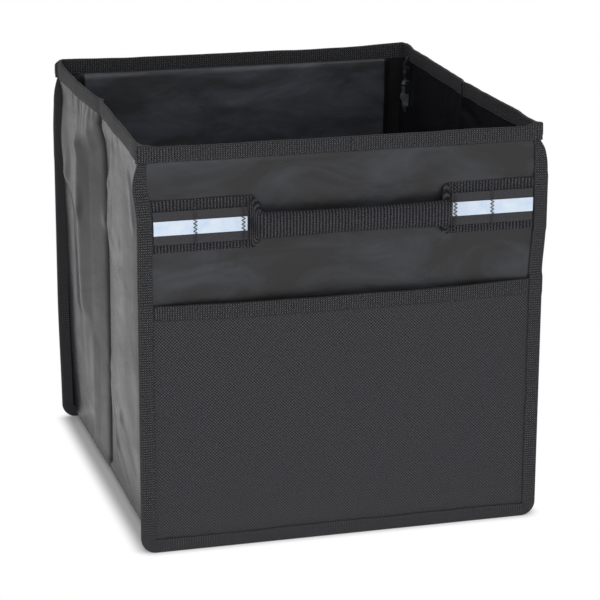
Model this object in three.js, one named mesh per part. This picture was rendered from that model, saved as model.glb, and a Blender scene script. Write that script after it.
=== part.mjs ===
// Cargo storage box: an open cube of laminated fabric for a car boot.
// Two stiff panels, front and rear, are joined by one soft strip that makes both sides and the bottom.
// Each panel's edge and the strip's edge lie flat together and are bound with tape, so they stand out as a fin.
// Millimetres. Z is up, the front faces -Y, and the origin is on the floor under the middle of the box.
import * as THREE from "three";

// Overall size: across the fins, from binding to binding, and floor to rim
const WIDTH = 305;
const DEPTH = 318;
const HEIGHT = 305;

// Thickness of each cloth, tape and board, the air between two layers, and between a cloth's edge and a fold
const OUTER_CLOTH = 0.7;
const BOARD = 2;
const LINING = 0.6;
const STRIP_CLOTH = 0.6;
const POCKET_CLOTH = 0.8;
const TAPE = 0.8;
const WEBBING = 1.2;
const RIBBON = 0.4;
const REFLECTOR = 0.3;
const THREAD = 0.35;
const LAYER_GAP = 0.1;
const EDGE_GAP = 0.5;

// Fin: the width of its binding, the corner at the floor, and how it draws in below the rim
const BINDING_LEG = 10.5;
const BINDING_FOLD = 1.2;
const FIN_CORNER = 11;
const FIN_DRAW_IN = 4.5;
const FIN_DRAW_HEIGHT = 22;

// How far past a layer's edge a cloth over it starts to step down, and the length of that step
const STEP_START = 0.5;
const STEP_FADE = 4;

// Seams: where the soft strip leaves the fin on the sides, under the rim and at the bottom
const SIDE_SEAM = 10;
const RIM_SEAM = 3.2;
const RIM_SEAM_HEIGHT = 40;
const BOTTOM_SEAM = 9.8;
const SEAM_CORNER = 4;
const SEAM_BEND = 0.8;
const BOTTOM_SAG = 5.5;
const SAG_REACH = 9;

// The lowest level of a side above its corner, a low level of a panel, and where in a soft bend its point lies
const CORNER_CLEAR = 6;
const LOW_LEVEL = 40;
const BEND_START = 0.3;

// Rim tape: its outer and inner legs
const RIM_OUTER_LEG = 13;
const RIM_INNER_LEG = 11;
const RIM_FOLD = 0.5;

// Rim tape round a corner: how far it bulges past the fin, how softly it turns there, and where its inner leg
// leaves the seam, step by step
const RIM_PAST_FIN = 0.2;
const RIM_TURN = 0.8;
const RIM_INNER_TURN = [
  { fromSeam: -3.5, behind: 0 },
  { fromSeam: -2.9, behind: 0 },
  { fromSeam: -2.3, behind: 0 },
  { fromSeam: -1.8, behind: 0.1 },
  { fromSeam: -1.4, behind: 0.4 },
  { fromSeam: -1, behind: 0.8 },
  { fromSeam: -0.8, behind: 1.3 },
];
const RIM_ON_WALL = 1.7;
const RIM_INNER_ON_WALL = 2.7;

// Stiffening boards: their margins to the side seams, to the rim tape and to the bottom seam, and the slope of
// the lining beside a board and below it
const BOARD_SIDE_MARGIN = 16;
const BOARD_TOP_MARGIN = 8;
const BOARD_LOW_MARGIN = 4;
const BOARD_CORNER = 6;
const BOARD_CORNER_CLEAR = 4;
const LINING_STEP = 8;
const LINING_LOW_STEP = 2.3;

// Loose base: its board's thickness, its margins to the side seams and to the panels, and its rounded edges
const BASE_BOARD = 3;
const BASE_MARGIN = 5;
const BASE_END_MARGIN = 1;
const BASE_EDGE = 0.2;
const BOARD_EDGE_GAP = 0.3;

// Front pocket: its height, how far its mouth stands open and its hem tape
const POCKET_HEIGHT = 188;
const POCKET_OPENS = 6.5;
const POCKET_FLAT = 12;
const HEM = 11;
const HEM_FOLD = 0.7;
const HEM_END_GAP = 0.4;

// Handle webbing: its width and height on the panel
const WEBBING_WIDTH = 38;
const WEBBING_BELOW_RIM = 59.5;
const WEBBING_END = 1.5;
const GRIP_DROP = 1;

// Grip: its height where the edges are folded back, at the middle and at its ends, the fold's radius and the
// share of a short turn that bends, how far up the first bend the folding starts, and the least curl of an edge
const GRIP_HEIGHT = 17.5;
const GRIP_END_HEIGHT = 20;
const GRIP_FOLD_RADIUS = 2.6;
const GRIP_FOLD_SHARE = 0.8;
const GRIP_FOLD_FROM = 25;
const SELVEDGE_TURN = 0.4;

// Reflective ribbon, the silver strip on it and the zigzag rows that hold them
const RIBBON_WIDTH = 24;
const RIBBON_DROP = 1;
const RIBBON_END_GAP = 0.3;
const REFLECTOR_WIDTH = 10.3;
const ZIGZAG_OUTER = 111;
const ZIGZAG_FROM_FOLD = 3.2;
const ZIGZAG_WIDTH = 3;
const ZIGZAG_PITCH = 2.7;
const ZIGZAG_THREAD = 0.6;
const ZIGZAG_MARGIN = 1;

// How each end of a handle leaves the panel: where, how steeply, its two bends and the length between them
const RISING_END = { fold: 72.8, turn: 70, firstBend: 2.6, riser: 7.2, secondBend: 6.6 };
const BULGING_END = { fold: 79.5, turn: 100, firstBend: 2.4, riser: 3, secondBend: 6.4 };

// Side walls: the crease down each, by its place from front to back at the floor and at the rim, and how far
// the cloth stands out from the line of the seams. There is a row for each height, as a share of the box's
// height. A row runs from beside the front seam through the crease, at its middle, to beside the rear seam.
const WALL_PLACES = [-0.95, -0.75, -0.5, -0.25, 0, 0.25, 0.5, 0.75, 0.95];
const LEFT_WALL = {
  sign: -1,
  creaseLow: 5,
  creaseHigh: 9.5,
  rows: [
    { at: 0.955, out: [2.6, 2.2, 0.8, -0.2, -1.2, 0.4, 2.1, 2.8, 2.6] },
    { at: 0.885, out: [2.8, 3.4, 2.5, 1.1, -0.3, 2.6, 5.0, 5.9, 5.7] },
    { at: 0.826, out: [3.0, 4.6, 3.9, 2.3, 0.5, 4.3, 7.5, 7.9, 5.9] },
    { at: 0.738, out: [2.6, 4.7, 4.3, 2.6, 0.5, 3.9, 6.9, 6.5, 2.7] },
    { at: 0.656, out: [2.3, 4.7, 4.5, 2.7, 0.4, 3.3, 5.9, 4.3, 1.5] },
    { at: 0.492, out: [2.1, 4.1, 3.9, 2.3, 0.0, 2.4, 4.3, 3.1, 1.1] },
    { at: 0.328, out: [1.9, 3.5, 3.5, 2.1, -0.3, 1.7, 3.1, 2.5, 1.0] },
    { at: 0.164, out: [1.1, 2.3, 2.1, 0.9, -0.7, 0.7, 1.7, 1.7, 0.7] },
    { at: 0.046, out: [0.2, 0.4, 0.2, -0.3, -0.9, -0.1, 0.4, 0.5, 0.2] },
  ],
};
const RIGHT_WALL = {
  sign: 1,
  creaseLow: 0,
  creaseHigh: -8,
  rows: [
    { at: 0.955, out: [0.6, -0.4, -2.2, -3.0, -3.1, -2.0, -1.4, -0.4, 0.4] },
    { at: 0.885, out: [1.2, 1.0, 0.0, -1.2, -2.2, -0.2, 1.2, 1.8, 1.6] },
    { at: 0.826, out: [1.4, 2.4, 1.8, 0.4, -1.1, 1.5, 3.0, 3.0, 1.8] },
    { at: 0.738, out: [1.4, 2.8, 2.6, 1.2, -0.8, 1.8, 3.4, 2.8, 1.3] },
    { at: 0.656, out: [1.4, 3.0, 3.0, 1.6, -0.6, 1.9, 3.4, 2.6, 1.1] },
    { at: 0.492, out: [1.4, 2.8, 2.8, 1.5, -0.7, 1.6, 2.9, 2.3, 1.0] },
    { at: 0.328, out: [1.2, 2.4, 2.4, 1.3, -0.8, 1.3, 2.4, 2.0, 0.9] },
    { at: 0.164, out: [0.8, 1.6, 1.5, 0.6, -0.9, 0.6, 1.4, 1.4, 0.6] },
    { at: 0.046, out: [0.2, 0.4, 0.2, -0.3, -0.9, -0.1, 0.4, 0.5, 0.2] },
  ],
};

// Depths of the layers behind the plane of the front binding, from outside to inside
const pocketFace = TAPE + LAYER_GAP;
const outerFace = pocketFace + POCKET_CLOTH + LAYER_GAP;
const boardFace = outerFace + OUTER_CLOTH + LAYER_GAP;
const liningFace = boardFace + BOARD + LAYER_GAP;
const flangeFace = boardFace + LINING + LAYER_GAP;
const flangeBack = flangeFace + STRIP_CLOTH;
const bindingBack = flangeBack + LAYER_GAP + TAPE;

// Heights that several pieces share
const clothTop = HEIGHT - TAPE - LAYER_GAP;
const clothMargin = TAPE + EDGE_GAP;
const rimZone = HEIGHT - RIM_OUTER_LEG - 1;
const webbingCentre = HEIGHT - WEBBING_BELOW_RIM;
const webbingLow = webbingCentre - WEBBING_WIDTH / 2;
const webbingHigh = webbingCentre + WEBBING_WIDTH / 2;
const bindingEdge = WIDTH / 2 - BINDING_LEG;

const clamp = (t) => Math.min(1, Math.max(0, t));
const mix = (a, b, t) => a + (b - a) * t;
const radians = (degrees) => (degrees * Math.PI) / 180;

function steps(from, to, count) {
  return Array.from({ length: count + 1 }, (_, i) => mix(from, to, i / count));
}

// Half the fin's width at a height: it draws in below the rim and stays narrow under the rim tape.
function finHalfWidth(z) {
  const t = clamp((Math.min(z, rimZone) - (rimZone - FIN_DRAW_HEIGHT)) / FIN_DRAW_HEIGHT);
  return WIDTH / 2 - FIN_DRAW_IN * t * t;
}

// Half the distance between the two side seams at a height.
function seamHalfWidth(z) {
  const t = clamp((Math.min(z, rimZone) - (rimZone - RIM_SEAM_HEIGHT)) / RIM_SEAM_HEIGHT);
  return mix(WIDTH / 2 - SIDE_SEAM, WIDTH / 2 - FIN_DRAW_IN - RIM_SEAM, t * t);
}

// Geometry of a closed solid from points and triangles. The triangles are turned so that they face outwards.
function solidGeometry(points, triangles) {
  const across = new THREE.Vector3();
  const volume = triangles.reduce(
    (sum, [a, b, c]) => sum + points[a].dot(across.crossVectors(points[b], points[c])),
    0,
  );
  const outward = volume > 0 ? triangles : triangles.map(([a, b, c]) => [a, c, b]);
  const geometry = new THREE.BufferGeometry().setFromPoints(points);
  geometry.setIndex(outward.flat());
  geometry.computeVertexNormals();
  return geometry;
}

// The triangles that close a nearly flat ring, turned the way that the ring runs.
function capTriangles(ring) {
  const normal = new THREE.Vector3();
  const across = new THREE.Vector3();
  ring.forEach((p, i) => normal.add(across.crossVectors(p, ring[(i + 1) % ring.length])));
  normal.normalize();
  const u = new THREE.Vector3().subVectors(ring[1], ring[0]).normalize();
  const v = new THREE.Vector3().crossVectors(normal, u);
  const flat = ring.map((p) => new THREE.Vector2(p.dot(u), p.dot(v)));
  return THREE.ShapeUtils.triangulateShape(flat, []).map(([a, b, c]) => {
    const ab = flat[b].clone().sub(flat[a]);
    const ac = flat[c].clone().sub(flat[a]);
    return ab.cross(ac) > 0 ? [a, b, c] : [a, c, b];
  });
}

// A closed solid through outlines of one cloth, each with the same number of points, its second half running
// back along its first. Both ends are capped across the cloth's thickness, or joined up.
function loft(rings, joined = false) {
  const size = rings[0].length;
  const triangles = [];
  const last = joined ? rings.length : rings.length - 1;
  for (let r = 0; r < last; r++) {
    const here = r * size;
    const next = ((r + 1) % rings.length) * size;
    for (let i = 0; i < size; i++) {
      const j = (i + 1) % size;
      triangles.push([here + i, here + j, next + j], [here + i, next + j, next + i]);
    }
  }
  for (let i = 0; !joined && i + 1 < size / 2; i++) {
    const [a, b, c, d] = [i, i + 1, size - 2 - i, size - 1 - i];
    const end = last * size;
    triangles.push([a, c, b], [a, d, c]);
    triangles.push([end + a, end + b, end + c], [end + a, end + c, end + d]);
  }
  return solidGeometry(rings.flat(), triangles);
}

// The direction to the left of a flat line at each of its points, lengthened at corners to keep the thickness.
function leftOf(line, joined = false) {
  const count = line.length;
  const segment = (i) => {
    const [a, b] = [line[(i + count) % count], line[(i + 1 + count) % count]];
    const length = Math.hypot(b[0] - a[0], b[1] - a[1]);
    return [-(b[1] - a[1]) / length, (b[0] - a[0]) / length];
  };
  return line.map((_, i) => {
    const before = segment(!joined && i === 0 ? 0 : i - 1);
    const after = segment(!joined && i === count - 1 ? i - 1 : i);
    const shared = 1 + before[0] * after[0] + before[1] * after[1];
    return [(before[0] + after[0]) / shared, (before[1] + after[1]) / shared];
  });
}

// The closed outline of a cloth laid along a flat line, with its thickness to the left and right of the line.
function clothOutline(line, left, right) {
  const sideways = leftOf(line);
  const shifted = (by) => line.map(([a, b], i) => [a + sideways[i][0] * by, b + sideways[i][1] * by]);
  return [...shifted(left), ...shifted(-right).reverse()];
}

// The U-shaped run down the left side of a panel, along its bottom and up the right, seen from the front.
// A station holds its point, the direction out of the panel, and how far it is turned from side to bottom.
function uRun(levels, halfWidthAt, bottom, radius) {
  const cornerAngles = steps(0, 90, 5).map(radians);
  const corner = halfWidthAt(bottom + radius) - radius;
  const left = [
    ...levels.map((z) => ({ x: -halfWidthAt(z), z, outX: -1, outZ: 0, turned: 0 })),
    ...cornerAngles.map((a) => ({
      x: -corner - radius * Math.cos(a),
      z: bottom + radius - radius * Math.sin(a),
      outX: -Math.cos(a),
      outZ: -Math.sin(a),
      turned: Math.sin(a) ** 2,
    })),
    { x: -corner / 2, z: bottom, outX: 0, outZ: -1, turned: 1 },
  ];
  const right = left.map((s) => ({ ...s, x: -s.x, outX: -s.outX })).reverse();
  return [...left, { x: 0, z: bottom, outX: 0, outZ: -1, turned: 1 }, ...right];
}

// A point on a panel: x across, depth behind the plane of the front binding, z up.
function onPanel(x, depth, z) {
  return new THREE.Vector3(x, depth - DEPTH / 2, z);
}

// Thickness that lies between a panel's outer cloth and its edge binding at a height.
function underBinding(z, layers) {
  return Math.max(
    0,
    ...layers.map(({ low, high, thickness }) => {
      const beyond = Math.max(low - z, z - high) - STEP_START;
      return thickness * (1 - clamp(beyond / STEP_FADE));
    }),
  );
}

const webbingLayer = { low: webbingLow, high: webbingHigh, thickness: WEBBING + LAYER_GAP };
const pocketLayers = [
  { low: -HEIGHT, high: POCKET_HEIGHT, thickness: POCKET_CLOTH + LAYER_GAP },
  {
    low: POCKET_HEIGHT - HEM,
    high: POCKET_HEIGHT,
    thickness: POCKET_CLOTH + TAPE + 2 * LAYER_GAP,
  },
];

// Levels down the sides at which the pieces along the fin change shape, from the rim to above the corner.
function sideLevels(layers, evenSteps) {
  const shaped = layers
    .flatMap(({ low, high }) => [
      high + STEP_START + STEP_FADE,
      high + STEP_START,
      low - STEP_START,
      low - STEP_START - STEP_FADE,
    ])
    .filter((z) => z > FIN_CORNER + SEAM_BEND);
  const drawn = [clothTop, ...steps(rimZone, rimZone - FIN_DRAW_HEIGHT, 3)];
  const even = steps(rimZone - RIM_SEAM_HEIGHT, BOTTOM_SEAM + SEAM_CORNER + CORNER_CLEAR, evenSteps);
  const sorted = [...shaped, ...drawn, ...even].sort((a, b) => b - a);
  return sorted.filter((z, i) => i === 0 || sorted[i - 1] - z > 0.05);
}

// Edge binding: one tape folded over the fin, from under the rim tape round the bottom to the other side.
function edgeBinding(layers) {
  const levels = sideLevels(layers, 1);
  const fin = uRun(levels, finHalfWidth, 0, FIN_CORNER);
  const seam = uRun(levels, seamHalfWidth, BOTTOM_SEAM, SEAM_CORNER);
  const fold = BINDING_FOLD;
  const ease = BINDING_FOLD * BEND_START;
  const rings = fin.map((station, i) => {
    const lift = underBinding(station.z, layers);
    const front = outerFace - LAYER_GAP - lift - TAPE;
    const seamAway = (station.x - seam[i].x) * station.outX + (station.z - seam[i].z) * station.outZ;
    const outerLeg = BINDING_LEG - (WIDTH / 2 - finHalfWidth(station.z)) * (1 - station.turned);
    const innerLeg = Math.min(BINDING_LEG, seamAway - STRIP_CLOTH - STRIP_CLOTH);
    const line = [
      [outerLeg, front],
      [fold, front],
      [ease, front + ease],
      [0, front + fold],
      [0, bindingBack - fold],
      [ease, bindingBack - ease],
      [fold, bindingBack],
      [innerLeg, bindingBack],
    ];
    return clothOutline(line, 0, TAPE).map(([inward, depth]) =>
      onPanel(station.x - station.outX * inward, depth, station.z - station.outZ * inward),
    );
  });
  return loft(rings);
}

// The outline of a cloth or board in a panel, from the top left round the bottom to the top right.
function panelOutline(levels, halfWidthAt, bottom, radius) {
  return uRun(levels, halfWidthAt, bottom, radius).map(({ x, z }) => [x, z]);
}

// A cloth with a flat middle, made of outlines from its edge inwards, each at its own depth.
function panelCloth(outlines, thickness) {
  const size = outlines[0].points.length;
  const face = (extra) =>
    outlines.flatMap(({ points, depth }) => points.map(([x, z]) => onPanel(x, depth + extra, z)));
  const points = [...face(0), ...face(thickness)];
  const half = outlines.length * size;
  const triangles = [];
  for (let r = 0; r + 1 < outlines.length; r++) {
    for (let i = 0; i < size; i++) {
      const [a, b] = [r * size + i, r * size + ((i + 1) % size)];
      const [c, d] = [b + size, a + size];
      triangles.push([a, b, c], [a, c, d], [half + a, half + c, half + b], [half + a, half + d, half + c]);
    }
  }
  const inner = (outlines.length - 1) * size;
  capTriangles(points.slice(inner, half)).forEach(([a, b, c]) => {
    triangles.push([inner + a, inner + b, inner + c]);
    triangles.push([half + inner + a, half + inner + c, half + inner + b]);
  });
  for (let i = 0; i < size; i++) {
    const j = (i + 1) % size;
    triangles.push([i, half + i, half + j], [i, half + j, j]);
  }
  return solidGeometry(points, triangles);
}

const panelLevels = [clothTop, ...steps(rimZone, rimZone - FIN_DRAW_HEIGHT, 3), HEIGHT / 2, LOW_LEVEL];
const clothHalfWidth = (z) => finHalfWidth(z) - clothMargin;
const clothOutlinePoints = panelOutline(panelLevels, clothHalfWidth, clothMargin, FIN_CORNER - clothMargin);

function outerPanel() {
  return panelCloth([{ points: clothOutlinePoints, depth: outerFace }], OUTER_CLOTH);
}

// The board's size, shared by the lining that steps over its edge.
const boardHalfWidth = WIDTH / 2 - SIDE_SEAM - BOARD_SIDE_MARGIN;
const boardBottom = BOTTOM_SEAM + BOARD_LOW_MARGIN;
const boardTop = rimZone - BOARD_TOP_MARGIN;

// An outline that lies a margin outside the board, with as many points as the panel's cloth.
function aroundBoard(margin, below = margin) {
  const lowest = boardBottom + BOARD_CORNER + BOARD_CORNER_CLEAR;
  const levels = steps(boardTop + margin, lowest, panelLevels.length - 1);
  const halfWidth = () => boardHalfWidth + margin;
  return panelOutline(levels, halfWidth, boardBottom - below, BOARD_CORNER);
}

function board() {
  return panelCloth([{ points: aroundBoard(0), depth: boardFace }], BOARD);
}

// The lining lies on the outer cloth at its edge and steps over the board.
function lining() {
  const foot = aroundBoard(BOARD_EDGE_GAP + LINING_STEP, BOARD_EDGE_GAP + LINING_LOW_STEP);
  return panelCloth(
    [
      { points: clothOutlinePoints, depth: boardFace },
      { points: foot, depth: boardFace },
      { points: aroundBoard(BOARD_EDGE_GAP), depth: liningFace },
    ],
    LINING,
  );
}

// Pocket: how far its inner face stands off the outer cloth, from flat at the bottom to open at its mouth.
const hemInset = bindingEdge - HEM_END_GAP;
const pocketTop = POCKET_HEIGHT - TAPE - EDGE_GAP;

function pocketStandOff(x, z) {
  const across = 1 - clamp(Math.abs(x) / bindingEdge) ** 3;
  const upwards = clamp((z - POCKET_FLAT) / (POCKET_HEIGHT - POCKET_FLAT));
  const forHem = (TAPE + LAYER_GAP) * clamp((z - (POCKET_HEIGHT - HEM - STEP_FADE)) / STEP_FADE);
  return LAYER_GAP + POCKET_OPENS * across * upwards + forHem;
}

const pocketColumns = [...steps(0, 1, 6).map((t) => hemInset * Math.sin((t * Math.PI) / 2)), bindingEdge];
const pocketHalf = [...pocketColumns.slice(1).reverse().map((x) => -x), ...pocketColumns];

// The front pocket: one cloth, as wide as the panel, with the panel's rounded lower corners.
function pocketPanel() {
  const radius = FIN_CORNER - clothMargin;
  const rows = [
    ...steps(0, 90, 3).map((a) => clothMargin + radius * (1 - Math.cos(radians(a)))),
    ...steps(LOW_LEVEL, POCKET_HEIGHT - HEM - STEP_FADE, 4),
    POCKET_HEIGHT - HEM,
    pocketTop,
  ];
  const edge = WIDTH / 2 - clothMargin;
  const rings = rows.map((z) => {
    const below = Math.max(0, clothMargin + radius - z);
    const halfWidth = edge - radius + Math.sqrt(radius * radius - below * below);
    const columns = [-edge, ...pocketHalf, edge].map((x) => (x * halfWidth) / edge);
    const front = columns.map((x) => onPanel(x, outerFace - pocketStandOff(x, z) - POCKET_CLOTH, z));
    const back = columns.map((x) => onPanel(x, outerFace - pocketStandOff(x, z), z));
    return [...front, ...back.reverse()];
  });
  return loft(rings);
}

// The pocket's hem tape, folded over its top edge.
function hemTape() {
  const low = POCKET_HEIGHT - HEM;
  const top = POCKET_HEIGHT;
  const soft = HEM_FOLD;
  const columns = pocketHalf.filter((x) => Math.abs(x) < bindingEdge);
  const rings = columns.map((x) => {
    const back = (z) => outerFace - pocketStandOff(x, z) + LAYER_GAP + TAPE;
    const front = (z) => outerFace - pocketStandOff(x, z) - POCKET_CLOTH - LAYER_GAP - TAPE;
    const line = [
      [front(low), low],
      [front(pocketTop), top - soft],
      [front(pocketTop) + soft, top],
      [back(pocketTop) - soft, top],
      [back(pocketTop), top - soft],
      [back(low), low],
    ];
    return clothOutline(line, 0, TAPE).map(([depth, z]) => onPanel(x, depth, z));
  });
  return loft(rings);
}

// One end of a handle, from the fin inwards: stations with their distance from the middle, their height off
// the panel, the direction that the webbing faces, and how much of each edge is folded to the back.
function handleEnd({ fold, turn, firstBend, riser, secondBend }) {
  const flat = LAYER_GAP + WEBBING / 2;
  const full = radians(turn);
  const stations = [
    { x: WIDTH / 2 - WEBBING_END, off: flat, angle: 0, folded: 0 },
    { x: bindingEdge, off: flat, angle: 0, folded: 0 },
    { x: ZIGZAG_OUTER, off: flat, angle: 0, folded: 0 },
  ];
  const firstLength = firstBend * full;
  const foldStart = firstBend * radians(GRIP_FOLD_FROM);
  const foldEnd = firstLength + riser;
  steps(0, full, 5).forEach((a) => {
    const along = firstBend * a;
    stations.push({
      x: fold - firstBend * Math.sin(a),
      off: flat + firstBend * (1 - Math.cos(a)),
      angle: a,
      folded: clamp((along - foldStart) / (foldEnd - foldStart)),
    });
  });
  const low = stations[stations.length - 1];
  const high = { x: low.x - riser * Math.cos(full), off: low.off + riser * Math.sin(full) };
  stations.push({
    x: (low.x + high.x) / 2,
    off: (low.off + high.off) / 2,
    angle: full,
    folded: (low.folded + 1) / 2,
  });
  steps(full, 0, 5).forEach((a) => {
    stations.push({
      x: high.x - secondBend * (Math.sin(full) - Math.sin(a)),
      off: high.off + secondBend * (Math.cos(a) - Math.cos(full)),
      angle: a,
      folded: 1,
    });
  });
  return stations;
}

// The webbing's section where a length of each edge is turned: a flat middle, a bend and a flap behind it.
function webbingSection(turnedLength) {
  const middle = WEBBING_WIDTH / 2 - turnedLength;
  const radius = GRIP_FOLD_RADIUS;
  const bend = Math.min(turnedLength * GRIP_FOLD_SHARE, radius * Math.PI);
  const half = [[0, middle]];
  steps(0, bend, 4)
    .slice(1)
    .forEach((s) => half.push([-radius * (1 - Math.cos(s / radius)), middle + radius * Math.sin(s / radius)]));
  const [back, height] = half[half.length - 1];
  const left = turnedLength - bend;
  const angle = bend / radius;
  half.push([back - left * Math.sin(angle), height + left * Math.cos(angle)]);
  return [...half.map(([b, h]) => [b, -h]).reverse(), ...half];
}

// How much of each edge is turned for a grip of a given height.
function turnedFor(height) {
  return WEBBING_WIDTH / 2 + GRIP_FOLD_RADIUS + WEBBING / 2 - height / 2;
}

// A handle: one length of webbing, flat on the panel at its ends, with its edges folded back along the grip.
function handleWebbing(leftEnd, rightEnd) {
  const left = handleEnd(leftEnd).map((s) => ({ ...s, x: -s.x, faceX: -Math.sin(s.angle) }));
  const right = handleEnd(rightEnd).map((s) => ({ ...s, faceX: Math.sin(s.angle) }));
  const start = left[left.length - 1];
  const end = right[right.length - 1];
  const run = steps(0, 1, 6)
    .slice(1, -1)
    .map((t) => ({
      x: mix(start.x, end.x, t),
      off: mix(start.off, end.off, t),
      faceX: 0,
      angle: 0,
      folded: 1,
      middle: Math.sin(t * Math.PI),
    }));
  const rings = [...left, ...run, ...right.reverse()].map((s) => {
    const height = mix(GRIP_END_HEIGHT, GRIP_HEIGHT, s.middle ?? 0);
    const section = webbingSection(Math.max(SELVEDGE_TURN, s.folded * turnedFor(height)));
    const centre = webbingCentre - GRIP_DROP * s.folded;
    return clothOutline(section, WEBBING / 2, WEBBING / 2).map(([b, h]) =>
      onPanel(s.x + s.faceX * b, outerFace - s.off - Math.cos(s.angle) * b, centre + h),
    );
  });
  return loft(rings);
}

// A flat strip on the handle's sewn part, from the fold to the binding.
function strapStrip(side, fold, width, off, thickness) {
  const length = bindingEdge - RIBBON_END_GAP - fold;
  const geometry = new THREE.BoxGeometry(length, thickness, width);
  const middle = outerFace - off - thickness / 2 - DEPTH / 2;
  geometry.translate(side * (fold + length / 2), middle, webbingCentre - RIBBON_DROP);
  return geometry;
}

// A zigzag row of thread up the webbing, over the ribbon and the reflector.
function zigzagRow(x, off) {
  const low = webbingLow + ZIGZAG_MARGIN;
  const count = 2 * Math.round((WEBBING_WIDTH - 2 * ZIGZAG_MARGIN) / ZIGZAG_PITCH);
  const pitch = (WEBBING_WIDTH - 2 * ZIGZAG_MARGIN) / count;
  const corners = steps(0, count, count).map((i) => [
    ((i % 2) - 0.5) * (ZIGZAG_WIDTH - ZIGZAG_THREAD),
    low + i * pitch,
  ]);
  const shape = new THREE.Shape(
    clothOutline(corners, ZIGZAG_THREAD / 2, ZIGZAG_THREAD / 2).map(([a, b]) => new THREE.Vector2(a, b)),
  );
  const geometry = new THREE.ExtrudeGeometry(shape, { depth: THREAD, bevelEnabled: false });
  geometry.rotateX(Math.PI / 2);
  geometry.translate(x, outerFace - off - DEPTH / 2, 0);
  return geometry;
}

// Side walls: how far the cloth lies inside the line of the seams, and where the columns of its grid run.
const wallFront = flangeBack - DEPTH / 2;
const wallReach = -wallFront - SEAM_BEND;

function creaseAt(wall, z) {
  return mix(wall.creaseLow, wall.creaseHigh, Math.min(z, rimZone) / HEIGHT);
}

// A value between the entries of a list, whose places rise.
function between(places, values, at) {
  const last = places.length - 1;
  const i = Math.min(last - 1, Math.max(0, places.findIndex((p) => p > at) - 1));
  const from = at >= places[last] ? last - 1 : i;
  const share = clamp((at - places[from]) / (places[from + 1] - places[from]));
  return mix(values[from], values[from + 1], share);
}

const wallPlaces = [-1, ...WALL_PLACES, 1];

function wallInward(wall, y, z) {
  const height = Math.min(z, rimZone);
  const crease = creaseAt(wall, height);
  const away = (y - crease) / (wallReach - crease * Math.sign(y - crease));
  const heights = wall.rows.map(({ at }) => at * HEIGHT).reverse();
  const out = wall.rows.map((row) => between(wallPlaces, [0, ...row.out, 0], away)).reverse();
  return -between(heights, out, height);
}

function wallColumns(wall, z) {
  const crease = creaseAt(wall, z);
  const besideSeam = steps(0, SAG_REACH, 3).map((d) => wallReach - d);
  const at = (place) => crease + place * (wallReach - crease * Math.sign(place));
  const inner = WALL_PLACES.slice(1, -1);
  return [...besideSeam.map((y) => -y), ...inner.map(at), ...besideSeam.reverse()];
}

// The soft strip: left side, bottom and right side in one cloth, with its edges turned out into the fins.
function softStrip() {
  const levels = sideLevels([], 9);
  const seam = uRun(levels, seamHalfWidth, BOTTOM_SEAM, SEAM_CORNER);
  const clothEdge = uRun(levels, clothHalfWidth, clothMargin, FIN_CORNER - clothMargin);
  const rings = seam.map((station, i) => {
    const edge = clothEdge[i];
    const wall = station.x < 0 ? LEFT_WALL : RIGHT_WALL;
    const width = Math.hypot(edge.x - station.x, edge.z - station.z);
    const columns = wallColumns(wall, station.z).map((y) => {
      const fromSeam = wallReach - Math.abs(y);
      const sag = BOTTOM_SAG * station.turned * Math.sin((clamp(fromSeam / SAG_REACH) * Math.PI) / 2);
      return [sag - wallInward(wall, y, station.z) * (1 - station.turned), y];
    });
    const bend = SEAM_BEND * BEND_START;
    const flange = [
      [width, wallFront],
      [SEAM_BEND, wallFront],
      [bend, wallFront + bend],
    ];
    const line = [...flange, ...columns, ...flange.map(([out, y]) => [out, -y]).reverse()];
    const last = line.length - flange.length;
    return clothOutline(line, STRIP_CLOTH, 0).map(([out, y], j) => {
      const column = j < line.length ? j : 2 * line.length - 1 - j;
      const onFlange = column < flange.length || column >= last;
      const share = onFlange ? Math.max(0, out) / width : 0;
      const plain = onFlange ? Math.min(0, out) : out;
      return new THREE.Vector3(
        mix(station.x, edge.x, share) + station.outX * plain,
        y,
        mix(station.z, edge.z, share) + station.outZ * plain,
      );
    });
  });
  return loft(rings);
}

// One corner of the rim as pairs of points that the tape's legs follow: outside round the fin, inside round
// the seam. Each is a distance from the middle and a depth behind the plane of the binding.
function rimCorner(wall) {
  const fin = finHalfWidth(HEIGHT);
  const seam = seamHalfWidth(HEIGHT);
  const outside = outerFace - LAYER_GAP;
  const overBinding = outside - TAPE - LAYER_GAP;
  const behind = bindingBack + LAYER_GAP;
  const inside = flangeFace;
  const onWall = (depth, off) => [seam - wallInward(wall, depth - DEPTH / 2, HEIGHT) + off, depth];
  const within = -STRIP_CLOTH - LAYER_GAP;
  const past = fin + RIM_PAST_FIN;
  const beforeTurn = past - RIM_TURN;
  const round = [
    [bindingEdge - STEP_START - RIM_TURN, outside],
    [bindingEdge - RIM_PAST_FIN, overBinding],
    [beforeTurn, overBinding - LAYER_GAP],
    [past, overBinding - LAYER_GAP + RIM_TURN],
    [past, behind + LAYER_GAP - RIM_TURN],
    [beforeTurn, behind + LAYER_GAP],
    [seam + 1, behind + LAYER_GAP + RIM_PAST_FIN],
  ];
  return [
    ...RIM_INNER_TURN.map((inner, i) => [round[i], [seam + inner.fromSeam, inside + inner.behind]]),
    [onWall(behind + RIM_ON_WALL, LAYER_GAP), onWall(inside + RIM_INNER_ON_WALL, within)],
  ];
}

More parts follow.
